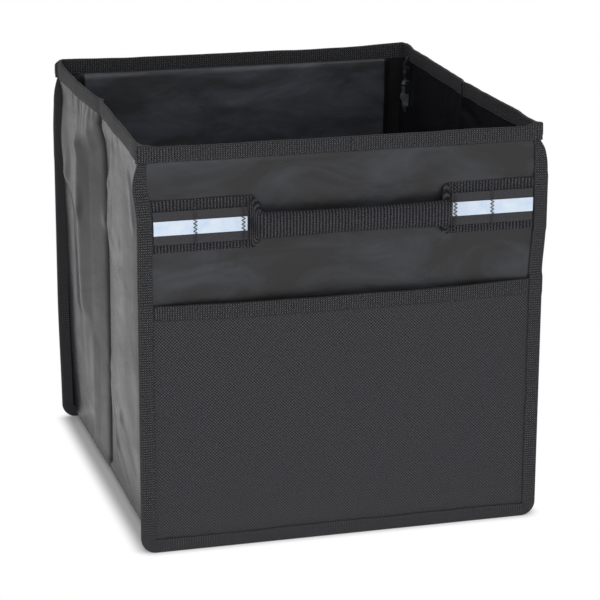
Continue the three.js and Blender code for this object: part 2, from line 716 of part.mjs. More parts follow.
// The way round the rim: front from the middle to the right, right wall, rear, left wall and back.
function rimStations() {
  const along = [0, 0.5, 0.85];
  const pair = (x, y, [outX, outDepth], [inX, inDepth]) => ({
    outer: [x * outX, y * (DEPTH / 2 - outDepth)],
    inner: [x * inX, y * (DEPTH / 2 - inDepth)],
  });
  const straight = (x, y, share) => {
    const at = share * bindingEdge;
    return pair(x, y, [at, outerFace - LAYER_GAP], [at, flangeFace]);
  };
  const corner = (x, y) => {
    const wall = x < 0 ? LEFT_WALL : RIGHT_WALL;
    return rimCorner(wall).map(([out, inside]) => pair(x, y, out, inside));
  };
  const side = (wall) =>
    wallColumns(wall, HEIGHT)
      .slice(1, -1)
      .map((y) => {
        const x = seamHalfWidth(HEIGHT) - wallInward(wall, y, HEIGHT);
        return {
          outer: [wall.sign * (x + LAYER_GAP), y],
          inner: [wall.sign * (x - STRIP_CLOTH - LAYER_GAP), y],
        };
      });
  return [
    ...along.map((share) => straight(1, -1, share)),
    ...corner(1, -1),
    ...side(RIGHT_WALL),
    ...corner(1, 1).reverse(),
    ...along.map((share) => straight(1, 1, share)).reverse(),
    ...along.slice(1).map((share) => straight(-1, 1, share)),
    ...corner(-1, 1),
    ...side(LEFT_WALL).reverse(),
    ...corner(-1, -1).reverse(),
    ...along
      .slice(1)
      .map((share) => straight(-1, -1, share))
      .reverse(),
  ];
}

// The rim tape: one tape folded over the top edge all the way round.
function rimTape() {
  const stations = rimStations();
  const outer = stations.map((s) => s.outer);
  const inner = stations.map((s) => s.inner);
  const outward = leftOf(outer, true).map(([a, b]) => [-a, -b]);
  const inward = leftOf(inner, true);
  const ceiling = HEIGHT - TAPE;
  const rings = stations.map((_, i) => {
    const out = (by, z) =>
      new THREE.Vector3(outer[i][0] + outward[i][0] * by, outer[i][1] + outward[i][1] * by, z);
    const into = (by, z) =>
      new THREE.Vector3(inner[i][0] + inward[i][0] * by, inner[i][1] + inward[i][1] * by, z);
    return [
      out(TAPE, HEIGHT - RIM_OUTER_LEG),
      out(TAPE, HEIGHT - RIM_FOLD),
      out(TAPE - RIM_FOLD, HEIGHT),
      into(TAPE - RIM_FOLD, HEIGHT),
      into(TAPE, HEIGHT - RIM_FOLD),
      into(TAPE, HEIGHT - RIM_INNER_LEG),
      into(0, HEIGHT - RIM_INNER_LEG),
      into(0, ceiling),
      out(0, ceiling),
      out(0, HEIGHT - RIM_OUTER_LEG),
    ];
  });
  return loft(rings, true);
}

// The loose base: a board in a flat sleeve of lining cloth, lying on the bottom.
const baseLow = BOTTOM_SEAM - BOTTOM_SAG + STRIP_CLOTH + BOARD_EDGE_GAP;
const baseHalfWidth = WIDTH / 2 - SIDE_SEAM - BASE_MARGIN;
const baseHalfDepth = wallReach - SAG_REACH - BASE_END_MARGIN;

function roundedSection(halfWidth, low, high, radius) {
  const shape = new THREE.Shape();
  shape.moveTo(-halfWidth + radius, low);
  shape.lineTo(halfWidth - radius, low);
  shape.absarc(halfWidth - radius, low + radius, radius, radians(-90), 0);
  shape.absarc(halfWidth - radius, high - radius, radius, 0, radians(90));
  shape.lineTo(-halfWidth + radius, high);
  shape.absarc(-halfWidth + radius, high - radius, radius, radians(90), radians(180));
  shape.absarc(-halfWidth + radius, low + radius, radius, radians(180), radians(270));
  return shape;
}

function alongDepth(shape, halfDepth) {
  const geometry = new THREE.ExtrudeGeometry(shape, {
    depth: 2 * halfDepth,
    bevelEnabled: false,
    curveSegments: 3,
  });
  geometry.rotateX(Math.PI / 2);
  geometry.translate(0, halfDepth, 0);
  return geometry;
}

const baseInside = LINING + LAYER_GAP;
const baseTop = baseLow + BASE_BOARD + 2 * baseInside;

function baseBoard() {
  const half = baseHalfWidth - baseInside;
  const shape = roundedSection(half, baseLow + baseInside, baseTop - baseInside, BASE_EDGE);
  return alongDepth(shape, baseHalfDepth - baseInside);
}

function baseSleeve() {
  const shape = roundedSection(baseHalfWidth, baseLow, baseTop, LINING + BASE_EDGE);
  const hole = roundedSection(baseHalfWidth - LINING, baseLow + LINING, baseTop - LINING, BASE_EDGE);
  shape.holes.push(hole);
  return alongDepth(shape, baseHalfDepth);
}

// Materials, by the colours that the real cloths show
function cloth(color, roughness) {
  return new THREE.MeshStandardMaterial({ color, roughness, metalness: 0 });
}

const satinCloth = cloth(0x3e3f43, 0.45);
const stripCloth = cloth(0x4a4a4d, 0.45);
const liningCloth = cloth(0x2c2d30, 0.45);
const wovenCloth = cloth(0x3c3c3e, 0.85);
const bindingTape = cloth(0x2f2f31, 0.9);
const ribbedWebbing = cloth(0x303132, 0.9);
const greyBoard = cloth(0x8a7d6a, 0.9);
const blackRibbon = cloth(0x3f4042, 0.8);
const silverTape = new THREE.MeshStandardMaterial({ color: 0xdfe9f4, roughness: 0.35, metalness: 0.2 });
const blackThread = cloth(0x18181a, 0.8);

function named(name, geometry, material) {
  const mesh = new THREE.Mesh(geometry, material);
  mesh.name = name;
  return mesh;
}

// A handle with its ribbon, reflector and zigzag rows at each end.
function handle(prefix, leftEnd, rightEnd) {
  const group = new THREE.Group();
  const onWebbing = 2 * LAYER_GAP + WEBBING;
  const onRibbon = onWebbing + RIBBON + LAYER_GAP;
  const onReflector = onRibbon + REFLECTOR + LAYER_GAP;
  group.add(named(`${prefix}_handle_webbing`, handleWebbing(leftEnd, rightEnd), ribbedWebbing));
  [
    { side: -1, label: "left", end: leftEnd },
    { side: 1, label: "right", end: rightEnd },
  ].forEach(({ side, label, end }) => {
    const from = end.fold + RIBBON_END_GAP;
    const ribbon = strapStrip(side, from, RIBBON_WIDTH, onWebbing, RIBBON);
    const reflector = strapStrip(side, from, REFLECTOR_WIDTH, onRibbon, REFLECTOR);
    group.add(named(`${prefix}_ribbon_${label}`, ribbon, blackRibbon));
    group.add(named(`${prefix}_reflector_${label}`, reflector, silverTape));
    const inner = side * (end.fold + ZIGZAG_FROM_FOLD);
    const outer = side * ZIGZAG_OUTER;
    group.add(named(`${prefix}_zigzag_${label}_inner`, zigzagRow(inner, onReflector), blackThread));
    group.add(named(`${prefix}_zigzag_${label}_outer`, zigzagRow(outer, onReflector), blackThread));
  });
  return group;
}

// A panel: outer cloth, board and lining, bound at its sides and bottom.
function panel(prefix, layers) {
  const group = new THREE.Group();
  group.add(named(`${prefix}_outer_panel`, outerPanel(), satinCloth));
  group.add(named(`${prefix}_board`, board(), greyBoard));
  group.add(named(`${prefix}_lining`, lining(), liningCloth));
  group.add(named(`${prefix}_edge_binding`, edgeBinding(layers), bindingTape));
  return group;
}

const front = panel("front", [webbingLayer, ...pocketLayers]);
front.add(named("front_pocket_panel", pocketPanel(), wovenCloth));
front.add(named("front_pocket_hem_tape", hemTape(), bindingTape));
front.add(handle("front", RISING_END, BULGING_END));

const rear = panel("rear", [webbingLayer]);
rear.add(handle("rear", RISING_END, RISING_END));
rear.rotation.z = Math.PI;

const box = new THREE.Group();
box.add(front, rear);
box.add(named("side_and_bottom_strip", softStrip(), stripCloth));
box.add(named("rim_binding", rimTape(), bindingTape));
box.add(named("base_board", baseBoard(), greyBoard));
box.add(named("base_board_sleeve", baseSleeve(), liningCloth));

export default box;
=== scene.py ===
import math

import bpy
import numpy as np
from mathutils import Matrix, Vector


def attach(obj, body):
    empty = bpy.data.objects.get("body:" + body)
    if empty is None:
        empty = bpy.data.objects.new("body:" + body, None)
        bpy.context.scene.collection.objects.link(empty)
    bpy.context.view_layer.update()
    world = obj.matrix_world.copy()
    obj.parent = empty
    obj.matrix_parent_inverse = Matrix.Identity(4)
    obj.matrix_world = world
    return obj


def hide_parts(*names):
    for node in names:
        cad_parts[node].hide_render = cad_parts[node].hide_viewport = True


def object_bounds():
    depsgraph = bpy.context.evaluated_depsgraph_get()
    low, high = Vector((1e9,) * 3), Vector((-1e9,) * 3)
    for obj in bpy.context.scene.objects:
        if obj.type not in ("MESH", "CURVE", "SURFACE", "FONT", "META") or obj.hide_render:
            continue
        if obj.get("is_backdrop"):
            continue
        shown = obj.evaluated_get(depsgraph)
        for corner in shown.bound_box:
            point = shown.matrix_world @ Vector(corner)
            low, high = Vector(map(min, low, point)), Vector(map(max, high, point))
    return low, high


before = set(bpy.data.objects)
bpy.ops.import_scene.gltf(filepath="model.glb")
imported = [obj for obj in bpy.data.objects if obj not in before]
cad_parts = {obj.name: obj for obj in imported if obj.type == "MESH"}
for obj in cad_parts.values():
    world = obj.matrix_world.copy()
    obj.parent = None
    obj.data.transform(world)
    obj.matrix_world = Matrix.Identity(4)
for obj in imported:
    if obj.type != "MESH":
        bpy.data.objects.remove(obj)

cad_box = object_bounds()


# Stiffening boards.
# Three plates of grey chipboard, cut flat. One is sewn into each stiff panel and one lies in the loose base, so
# they are hidden and only get their material.
def linear(colour):
    """An sRGB hex value as the linear colour that a shader takes."""
    channels = [(colour >> shift & 255) / 255 for shift in (16, 8, 0)]
    return [c / 12.92 if c <= 0.04045 else ((c + 0.055) / 1.055) ** 2.4 for c in channels] + [1]


def add(tree, kind, settings=None, inputs=None):
    """Adds a node. Settings are its properties. Inputs are values, or what to link from: a socket, or a node,
    which stands for its first output.
    """
    node = tree.nodes.new(kind)
    for key, value in (settings or {}).items():
        setattr(node, key, value)
    for key, value in (inputs or {}).items():
        if isinstance(value, bpy.types.Node):
            value = value.outputs[0]
        if isinstance(value, bpy.types.NodeSocket):
            tree.links.new(value, node.inputs[key])
        else:
            node.inputs[key].default_value = value
    return node


def empty_material(name):
    material = bpy.data.materials.new(name)
    material.use_nodes = True
    material.node_tree.nodes.clear()
    return material, material.node_tree


def finish(tree, pattern, dark, pale, roughness, relief=None, low=0, high=1, gloss=0.5):
    """Ends a material: a pattern colours it from dark to pale, and the relief is what its bump takes in."""
    colour = add(tree, "ShaderNodeValToRGB", inputs={"Fac": pattern})
    for element, at, shade in zip(colour.color_ramp.elements, (low, high), (dark, pale)):
        element.position, element.color = at, linear(shade)
    inputs = {"Base Color": colour, "Roughness": roughness, "Specular IOR Level": gloss}
    if relief:
        inputs["Normal"] = add(tree, "ShaderNodeBump", inputs=relief)
    surface = add(tree, "ShaderNodeBsdfPrincipled", inputs=inputs)
    add(tree, "ShaderNodeOutputMaterial", inputs={"Surface": surface})


# Chipboard: pressed paper pulp, dull and mottled, with flecks about 3 mm long.
chipboard, tree = empty_material("grey chipboard")
place = add(tree, "ShaderNodeTexCoord").outputs["Object"]
flecks = add(tree, "ShaderNodeTexNoise", inputs={"Vector": place, "Scale": 330, "Detail": 4})
finish(tree, flecks, 0x6E675C, 0x8F8678, 0.9, {"Height": flecks, "Distance": 0.0001})

for node in ("front_board", "rear_board", "base_board"):
    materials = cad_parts[node].data.materials
    materials.clear()
    materials.append(chipboard)


# Panel cloths.
# Front and rear each have one outer cloth of coated polyester, cut to the panel with rounded lower corners and
# held in the binding. The board behind keeps it flat, so it shows only low, cloudy waves.
WIDTH, DEPTH, HEIGHT = 305, 318, 305
TAPE, LAYER_GAP, EDGE_GAP = 0.8, 0.1, 0.5
POCKET_CLOTH, OUTER_CLOTH = 0.8, 0.7
POCKET_FACE = TAPE + LAYER_GAP
OUTER_FACE = POCKET_FACE + POCKET_CLOTH + LAYER_GAP
RIM_OUTER_LEG, RIM_INNER_LEG = 13, 11
RIM_ZONE = HEIGHT - RIM_OUTER_LEG - 1
CLOTH_TOP = HEIGHT - TAPE - LAYER_GAP
CLOTH_MARGIN = TAPE + EDGE_GAP
FIN_CORNER, FIN_DRAW_IN, FIN_DRAW_HEIGHT = 11, 4.5, 22
MM = 0.001


def fin_half_width(z):
    """Half the panel's width at a height, over the fins, which draw in below the rim."""
    t = np.clip((np.minimum(z, RIM_ZONE) - (RIM_ZONE - FIN_DRAW_HEIGHT)) / FIN_DRAW_HEIGHT, 0, 1)
    return WIDTH / 2 - FIN_DRAW_IN * t * t


def cloth_half_width(z):
    """Half the width of a cloth that ends inside the fold of the binding."""
    below = np.maximum(0, FIN_CORNER - z)
    radius = FIN_CORNER - CLOTH_MARGIN
    return fin_half_width(z) - CLOTH_MARGIN - radius + np.sqrt(np.maximum(0, radius**2 - below**2))


def soft_noise(a, b, size, seed):
    """Smooth random heights from -1 to 1 over a surface, in lumps of one size."""
    lattice = np.random.default_rng(seed).uniform(-1, 1, (64, 64))
    a, b = np.broadcast_arrays(np.asarray(a, float) / size + 20, np.asarray(b, float) / size + 20)
    i, j = np.floor(a).astype(int), np.floor(b).astype(int)
    u, v = (t * t * t * (t * (t * 6 - 15) + 10) for t in (a - i, b - j))
    corner = lambda di, dj: lattice[(i + di) % 64, (j + dj) % 64]
    low = corner(0, 0) * (1 - u) + corner(1, 0) * u
    high = corner(0, 1) * (1 - u) + corner(1, 1) * u
    return low * (1 - v) + high * v


def smooth(t):
    t = np.clip(t, 0, 1)
    return t * t * (3 - 2 * t)


def rise(value, start, over):
    """0 up to a start, and from there softly up to 1."""
    return smooth((value - start) / over)


def fade(value, end, over):
    """0 from an end on, and softly up to 1 before it."""
    return smooth((end - value) / over)


def hump(away, width):
    return np.exp(-((away / width) ** 2))


def lengths_along(points, joined=False):
    """How far each point lies along a path. A joined path ends where it starts."""
    if joined:
        points = np.concatenate([points, points[:1]])
    return np.concatenate([[0], np.cumsum(np.linalg.norm(np.diff(points, axis=0), axis=1))])


def on_panel(x, depth, z, rear=False):
    """Points on a panel: x across it, depth behind the plane of its binding, z up."""
    x, depth, z = np.broadcast_arrays(x, depth, z)
    points = np.stack([x, depth - DEPTH / 2, z], -1).astype(float)
    return points * (-1, -1, 1) if rear else points


REAR_LEFT_BOW = 1.8
# How far each corner stands outside its straight fin: side, end, mm below the rim and at it, from what height
RIM_CORNERS = [(-1, -1, 3.2, 3.2, 245), (-1, 1, 2.4, 2.4, 262), (1, 1, 2.2, 1.6, 240), (1, -1, 1.9, 0.2, 190)]
LEFT_RIM_OUT, RIGHT_RIM_OUT, RIGHT_RIM_UP, RIM_SAG = 1.2, 1.2, 0.9, 2.1
REAR_CORNER_UP, CORNER_DROP = 1.7, 3.5


def as_it_stands(points):
    """The soft box as it stands: its corners spread at the rim, its rim sags between them, one edge is bent."""
    x, y, z = np.moveaxis(points, -1, 0)
    bent = REAR_LEFT_BOW * rise(-x, 118, 26) * rise(y, 95, 50) * smooth(z / 110)
    out = -bent * fade(z, 292, 45)
    for side, end, below_rim, at_rim, low in RIM_CORNERS:
        spread = below_rim + (at_rim - below_rim) * rise(z, 284, 10)
        out = out + side * spread * (
            rise(side * x, 118, 26) * rise(end * y, 108, 36) * rise(z, low, 36))
    between = fade(np.abs(y), 140, 30) * rise(z, 255, 36)
    left, right = between * rise(-x, 110, 26), between * rise(x, 110, 26)
    out = out - LEFT_RIM_OUT * left + RIGHT_RIM_OUT * right
    near_rim = rise(z, 290, 13)
    front = rise(-y, 135, 10) * fade(np.abs(x), 143, 8)
    sag = RIM_SAG * near_rim * (front + 0.6 * rise(-x, 130, 8) * fade(np.abs(y), 138, 16))
    rear_corner = rise(np.abs(x), 92, 46) * rise(y, 130, 16)
    rounded = rise(np.abs(x), 143.5, 6.5) * rise(y, 151, 6)
    up = (RIGHT_RIM_UP * right + REAR_CORNER_UP * rear_corner - CORNER_DROP * rounded) * near_rim - sag
    return points + np.stack([out, 0 * x, up], -1)


def new_object(name, data):
    piece = bpy.data.objects.new(name, data)
    bpy.context.scene.collection.objects.link(piece)
    return piece


def lofted(name, rings, material, joined=False, along=None, sharp=40):
    """A closed piece through rings of points, each ring the outline of one cloth in millimetres.

    Its UV map is the cloth laid flat: millimetres round the outline and along the run.
    """
    count, size = rings.shape[:2]
    index = np.arange(count * size).reshape(count, size)
    wrapped = np.concatenate([index, index[:1]]) if joined else index
    wrapped = np.concatenate([wrapped, wrapped[:, :1]], 1)
    across = lengths_along(rings[count // 2], True)
    if along is None:
        along = lengths_along(rings.mean(1), True)
    u, v = np.meshgrid(across, along[: len(wrapped)])
    flat = np.stack([u, v], -1)
    quads = lambda grid: np.stack([grid[:-1, :-1], grid[:-1, 1:], grid[1:, 1:], grid[1:, :-1]], 2)
    faces = quads(wrapped).reshape(-1, 4)
    uv = quads(flat).reshape(-1, 4, 2)
    if not joined:
        i = np.arange(size // 2 - 1)
        cap = np.stack([i, i + 1, size - 2 - i, size - 1 - i], -1)
        for row, turn in ((0, -1), (count - 1, 1)):
            faces = np.concatenate([faces, index[row][cap][:, ::turn]])
            uv = np.concatenate([uv, flat[row][cap][:, ::turn]])
    points = as_it_stands(rings.reshape(-1, 3)) * MM
    a, b, c, d = (points[faces[:, k]] for k in range(4))
    if (a * np.cross(b, c)).sum() + (a * np.cross(c, d)).sum() < 0:
        faces, uv = faces[:, ::-1], uv[:, ::-1]
    mesh = bpy.data.meshes.new(name)
    mesh.from_pydata(points.tolist(), [], faces.tolist())
    mesh.uv_layers.new(name="cloth").data.foreach_set("uv", uv.ravel())
    mesh.shade_smooth()
    mesh.set_sharp_from_angle(angle=math.radians(sharp))
    mesh.materials.append(material)
    return new_object(name, mesh)


def hold(piece, slot, *nodes):
    """Makes a finished piece ride on the root and hides the solids that it stands for. Its slot, the finish, is
    not used.
    """
    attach(piece, "root")
    if nodes:
        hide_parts(*nodes)
    return piece


def coated_cloth(name, dark, pale, roughness, gloss, crumpled):
    """Polyester with a smooth coating: a plain weave of 0.5 mm under a satin film of cloudy roughness, with its
    cloudy sheen also painted into the colour.
    """
    material, tree = empty_material(name)
    place = add(tree, "ShaderNodeTexCoord").outputs["Object"]
    spread = add(tree, "ShaderNodeMapping", inputs={"Vector": place, "Scale": (14, 14, 34)})
    clouds_and_painted_sheen = add(tree, "ShaderNodeTexNoise", inputs={
        "Vector": spread, "Scale": 1, "Detail": 5, "Roughness": 0.6,
        "Distortion": 0.7})
    film = add(tree, "ShaderNodeMapRange", inputs={
        "Value": clouds_and_painted_sheen, "From Min": 0.3, "From Max": 0.7,
        "To Min": roughness + 0.05, "To Max": roughness - 0.05})
    weave = add(tree, "ShaderNodeTexNoise", inputs={"Vector": place, "Scale": 900, "Detail": 2})
    crumple = add(tree, "ShaderNodeTexNoise", inputs={"Vector": place, "Scale": 45, "Detail": 3})
    fine = add(tree, "ShaderNodeBump", inputs={"Height": weave, "Distance": 0.00003})
    relief = {"Height": crumple, "Distance": crumpled * MM, "Normal": fine}
    # The same clouds colour the cloth, paler where the film is glossier: a painted sheen.
    finish(tree, clouds_and_painted_sheen, dark, pale, film, relief, 0.42, 0.72, gloss)
    return material


panel_cloth = coated_cloth("black coated polyester, panels", 0x0F0F11, 0x34363D, 0.42, 0.52, 1.2)

CLOTH_GRID = 3
# Under the rim tape the outer cloth rolls out: the roll's height, half width and how far it stands out
ROLL_HEIGHT, ROLL_WIDTH, ROLL_DEPTH = 288.6, 2.2, 0.75
cloth_rows = np.concatenate([
    CLOTH_MARGIN + (FIN_CORNER - CLOTH_MARGIN) * (1 - np.cos(np.radians(np.linspace(0, 90, 8)))),
    np.arange(FIN_CORNER + CLOTH_GRID, 281, CLOTH_GRID), np.arange(281, 296),
    np.arange(298, CLOTH_TOP, CLOTH_GRID), [CLOTH_TOP]])
cloth_shares = np.linspace(-1, 1, 141)
UPRIGHT_SHARE = 0.84


def cloth_columns(z):
    """Places across a panel's cloth: upright threads over the board, spread beside it to the bound edge."""
    upright = UPRIGHT_SHARE * cloth_half_width(HEIGHT / 2)
    share = np.abs(cloth_shares[None])
    beside = upright + (share - UPRIGHT_SHARE) / (1 - UPRIGHT_SHARE) * (cloth_half_width(z) - upright)
    return np.sign(cloth_shares) * np.where(share < UPRIGHT_SHARE, share / UPRIGHT_SHARE * upright, beside)


def cloth_waves(x, z, seed):
    """Low waves, up to 1 mm, of a cloth over a board. They fade to nothing at its bound edges."""
    edge = fade(np.abs(x), 140, 12) * rise(z, 10, 12) * fade(z, 294, 5)
    waves = 0.5 + 0.36 * soft_noise(x, z * 1.8, 46, seed) + 0.14 * soft_noise(x, z * 2.2, 19, seed + 1)
    return edge * waves


def sheet_rings(x, front, back, z, rear=False):
    """Rings of a cloth that lies between two depths on a panel."""
    return np.concatenate([on_panel(x, front, z, rear), on_panel(x, back, z, rear)[:, ::-1]], 1)


def panel_sheet(name, depth_at, thickness, material, rear):
    """A cloth as large as the panel, at a depth that changes over it."""
    z = cloth_rows[:, None]
    x = cloth_columns(z)
    depth = depth_at(x, z)
    return lofted(name, sheet_rings(x, depth, depth + thickness, z, rear), material, along=cloth_rows)


def outer_depth(x, z, seed):
    """The waves stand outwards, and lie low where the pocket covers them."""
    free = 0.2 + 0.8 * rise(z, 170, 18)
    roll = ROLL_DEPTH * hump(z - ROLL_HEIGHT, ROLL_WIDTH) * fade(np.abs(x), 138, 8)
    roll = roll * (0.55 + 0.45 * soft_noise(x, 0, 24, seed + 5))
    return OUTER_FACE - free * cloth_waves(x, z, seed) - roll


for side, seed in (("front", 11), ("rear", 21)):
    cloth = panel_sheet(
        f"{side}_outer_cloth", lambda x, z: outer_depth(x, z, seed), OUTER_CLOTH, panel_cloth, side == "rear")
    hold(cloth, "satin_cloth", f"{side}_outer_panel")


# Panel linings.
# The same coated cloth in a thinner grade lies inside each panel. It is bound with the outer cloth at its edges
# and slopes up over the board, so a flat, shinier field 253 mm wide shows between sides in painted shade.
BOARD, LINING = 2, 0.6
BOARD_FACE = OUTER_FACE + OUTER_CLOTH + LAYER_GAP
LINING_FACE = BOARD_FACE + BOARD + LAYER_GAP
BOARD_HALF_WIDTH, BOARD_BOTTOM, BOARD_SLOPE, BOARD_LOW_SLOPE = 126.5, 13.8, 4, 2.3
FIELD_TOP, FIELD_TOP_SLOPE = 292, 2

lining_cloth = coated_cloth("black coated polyester, lining over the board", 0x2C2D31, 0x4E5059, 0.42, 0.5, 1.0)
# Beside the board the lining takes a darker copy of the cloth: painted shade for the corners.
lining_in_painted_shade = coated_cloth("black coated polyester, loose lining", 0x101012, 0x18181B, 0.5, 0.25, 1.2)


def lining_depth(x, z, seed):
    beside = (BOARD_HALF_WIDTH + 0.8 - np.abs(x)) / BOARD_SLOPE + 1
    below = (z - BOARD_BOTTOM + 0.5) / BOARD_LOW_SLOPE + 1
    above = (FIELD_TOP - z) / FIELD_TOP_SLOPE + 1
    over_board = smooth(np.minimum(np.minimum(beside, below), above))
    return BOARD_FACE + (LINING_FACE - BOARD_FACE) * over_board + cloth_waves(x, z, seed)


for side, seed in (("front", 31), ("rear", 41)):
    cloth = panel_sheet(
        f"{side}_lining_cloth", lambda x, z: lining_depth(x, z, seed), LINING, lining_cloth, side == "rear")
    cloth.data.materials.append(lining_in_painted_shade)
    ring_shares = np.concatenate([cloth_shares, cloth_shares[::-1]])
    face_shares = np.abs(ring_shares + np.roll(ring_shares, -1)) / 2
    # Faces beside the board take the darker copy of the lining, as painted shade.
    loose = np.tile(face_shares > BOARD_HALF_WIDTH / cloth_half_width(HEIGHT / 2), len(cloth_rows) - 1)
    ends = np.zeros(len(cloth.data.polygons) - len(loose), bool)
    cloth.data.polygons.foreach_set("material_index", np.concatenate([loose, ends]).astype(np.int32))
    hold(cloth, "lining_cloth", f"{side}_lining")


# Front pocket.
# One piece of coarse oxford polyester, as wide as the panel. Its sides and bottom are caught in the binding and
# its mouth stands a few millimetres open.
POCKET_HEIGHT, POCKET_OPENS, POCKET_FLAT = 188, 6.5, 12
HEM, HEM_FOLD, STEP_FADE = 11, 0.7, 4
BINDING_LEG = 10.5
BINDING_EDGE = WIDTH / 2 - BINDING_LEG
POCKET_TOP = POCKET_HEIGHT - TAPE - EDGE_GAP
POCKET_GRID = 3


def woven_cloth(name, dark, pale, pitch_across, pitch_along, height, roughness, uneven=0.35, ribbed=0):
    """Coarse threads over and under: staggered dots, with a painted highlight on their crowns and painted shade
    between them. Pitches in mm.

    A ribbed tape has every second row of dots sunk between its ribs and darkened there with painted shade.
    """
    material, tree = empty_material(name)
    flat = add(tree, "ShaderNodeUVMap", {"uv_map": "cloth"})
    wander = add(tree, "ShaderNodeTexNoise", {"noise_dimensions": "2D"}, {
        "Vector": flat, "Scale": 0.5, "Detail": 3})
    shift = add(tree, "ShaderNodeVectorMath", {"operation": "MULTIPLY_ADD"}, {
        0: wander.outputs["Color"], 1: (0.9, 0.9, 0), 2: flat})
    axes = add(tree, "ShaderNodeSeparateXYZ", inputs={"Vector": shift})
    crowns = []
    for axis, pitch in (("X", pitch_across), ("Y", pitch_along)):
        turns = add(tree, "ShaderNodeMath", {"operation": "MULTIPLY"}, {
            0: axes.outputs[axis], 1: math.pi / pitch})
        crowns.append(add(tree, "ShaderNodeMath", {"operation": "COSINE"}, {0: turns}))
    product = add(tree, "ShaderNodeMath", {"operation": "MULTIPLY"}, {0: crowns[0], 1: crowns[1]})
    weave = add(tree, "ShaderNodeMapRange", inputs={"Value": product, "From Min": -0.7, "From Max": 0.9})
    fibres = add(tree, "ShaderNodeTexNoise", {"noise_dimensions": "2D"}, {
        "Vector": flat, "Scale": 0.9, "Detail": 3})
    mixed = add(tree, "ShaderNodeMix", {"data_type": "FLOAT"}, {0: uneven, 2: weave, 3: fibres})
    # The sunk rows are made darker: painted shade.
    if ribbed:
        rib = add(tree, "ShaderNodeMapRange", inputs={
            "Value": crowns[1], "From Min": -0.6, "From Max": 0.6, "To Min": 1 - ribbed})
        mixed = add(tree, "ShaderNodeMath", {"operation": "MULTIPLY"}, {0: mixed, 1: rib})
    # The weave colours the cloth too: a painted highlight on the crowns and painted shade between the threads.
    finish(tree, mixed, dark, pale, roughness, {"Height": mixed, "Distance": height * MM}, 0.25, 0.8, 0.1)
    return material


oxford = woven_cloth("black oxford polyester", 0x222224, 0x545458, 1.15, 1.15, 0.3, 0.75)


def pocket_stand_off(x, z):
    """How far the pocket's inner face is from the outer cloth: flat below, open at its mouth."""
    across = 1 - np.clip(np.abs(x) / BINDING_EDGE, 0, 1) ** 3
    upwards = np.clip((z - POCKET_FLAT) / (POCKET_HEIGHT - POCKET_FLAT), 0, 1)
    for_hem = (TAPE + LAYER_GAP) * np.clip((z - (POCKET_HEIGHT - HEM - STEP_FADE)) / STEP_FADE, 0, 1)
    waves = 0.45 * soft_noise(x, z, 60, 51) + 0.12 * soft_noise(x, z, 24, 52) + 0.5
    return LAYER_GAP + across * upwards * (POCKET_OPENS + waves) + for_hem


pocket_rows = np.concatenate([
    cloth_rows[:8], np.arange(FIN_CORNER + POCKET_GRID, POCKET_HEIGHT - HEM - STEP_FADE, POCKET_GRID),
    np.linspace(POCKET_HEIGHT - HEM - STEP_FADE, POCKET_TOP, 7)])
z = pocket_rows[:, None]
x = cloth_shares[None] * cloth_half_width(z)
off = OUTER_FACE - pocket_stand_off(x, z)
pocket = lofted("front_pocket", sheet_rings(x, off - POCKET_CLOTH, off, z), oxford, along=pocket_rows)
hold(pocket, "woven_pocket_cloth", "front_pocket_panel")


# Pocket hem.
# A flat polypropylene tape folded over the pocket's top edge and sewn through with one row of lockstitch.
def left_of(line, joined=False):
    """The direction to the left of flat lines, lengthened at corners to keep a cloth's thickness."""
    steps = np.roll(line, -1, -2) - line
    if not joined:
        steps[..., -1, :] = steps[..., -2, :]
    after = np.stack([-steps[..., 1], steps[..., 0]], -1) / np.linalg.norm(steps, axis=-1, keepdims=True)
    before = np.roll(after, 1, -2)
    if not joined:
        before[..., 0, :] = after[..., 0, :]
    return (before + after) / (1 + (before * after).sum(-1, keepdims=True))


def cloth_outline(line, left, right):
    """The closed outline of a cloth along flat lines, with its thickness to the left and to the right."""
    sideways = left_of(line)
    thick = lambda by: np.broadcast_to(np.asarray(by, float)[..., None], line[..., :1].shape)
    return np.concatenate([
        line + sideways * thick(left), (line - sideways * thick(right))[..., ::-1, :]], -2)


def tape_lines(columns):
    """The lines across a tape from its columns, each given by two values or rows of values."""
    return np.stack([np.stack(np.broadcast_arrays(a, b), -1) for a, b in columns], 1)


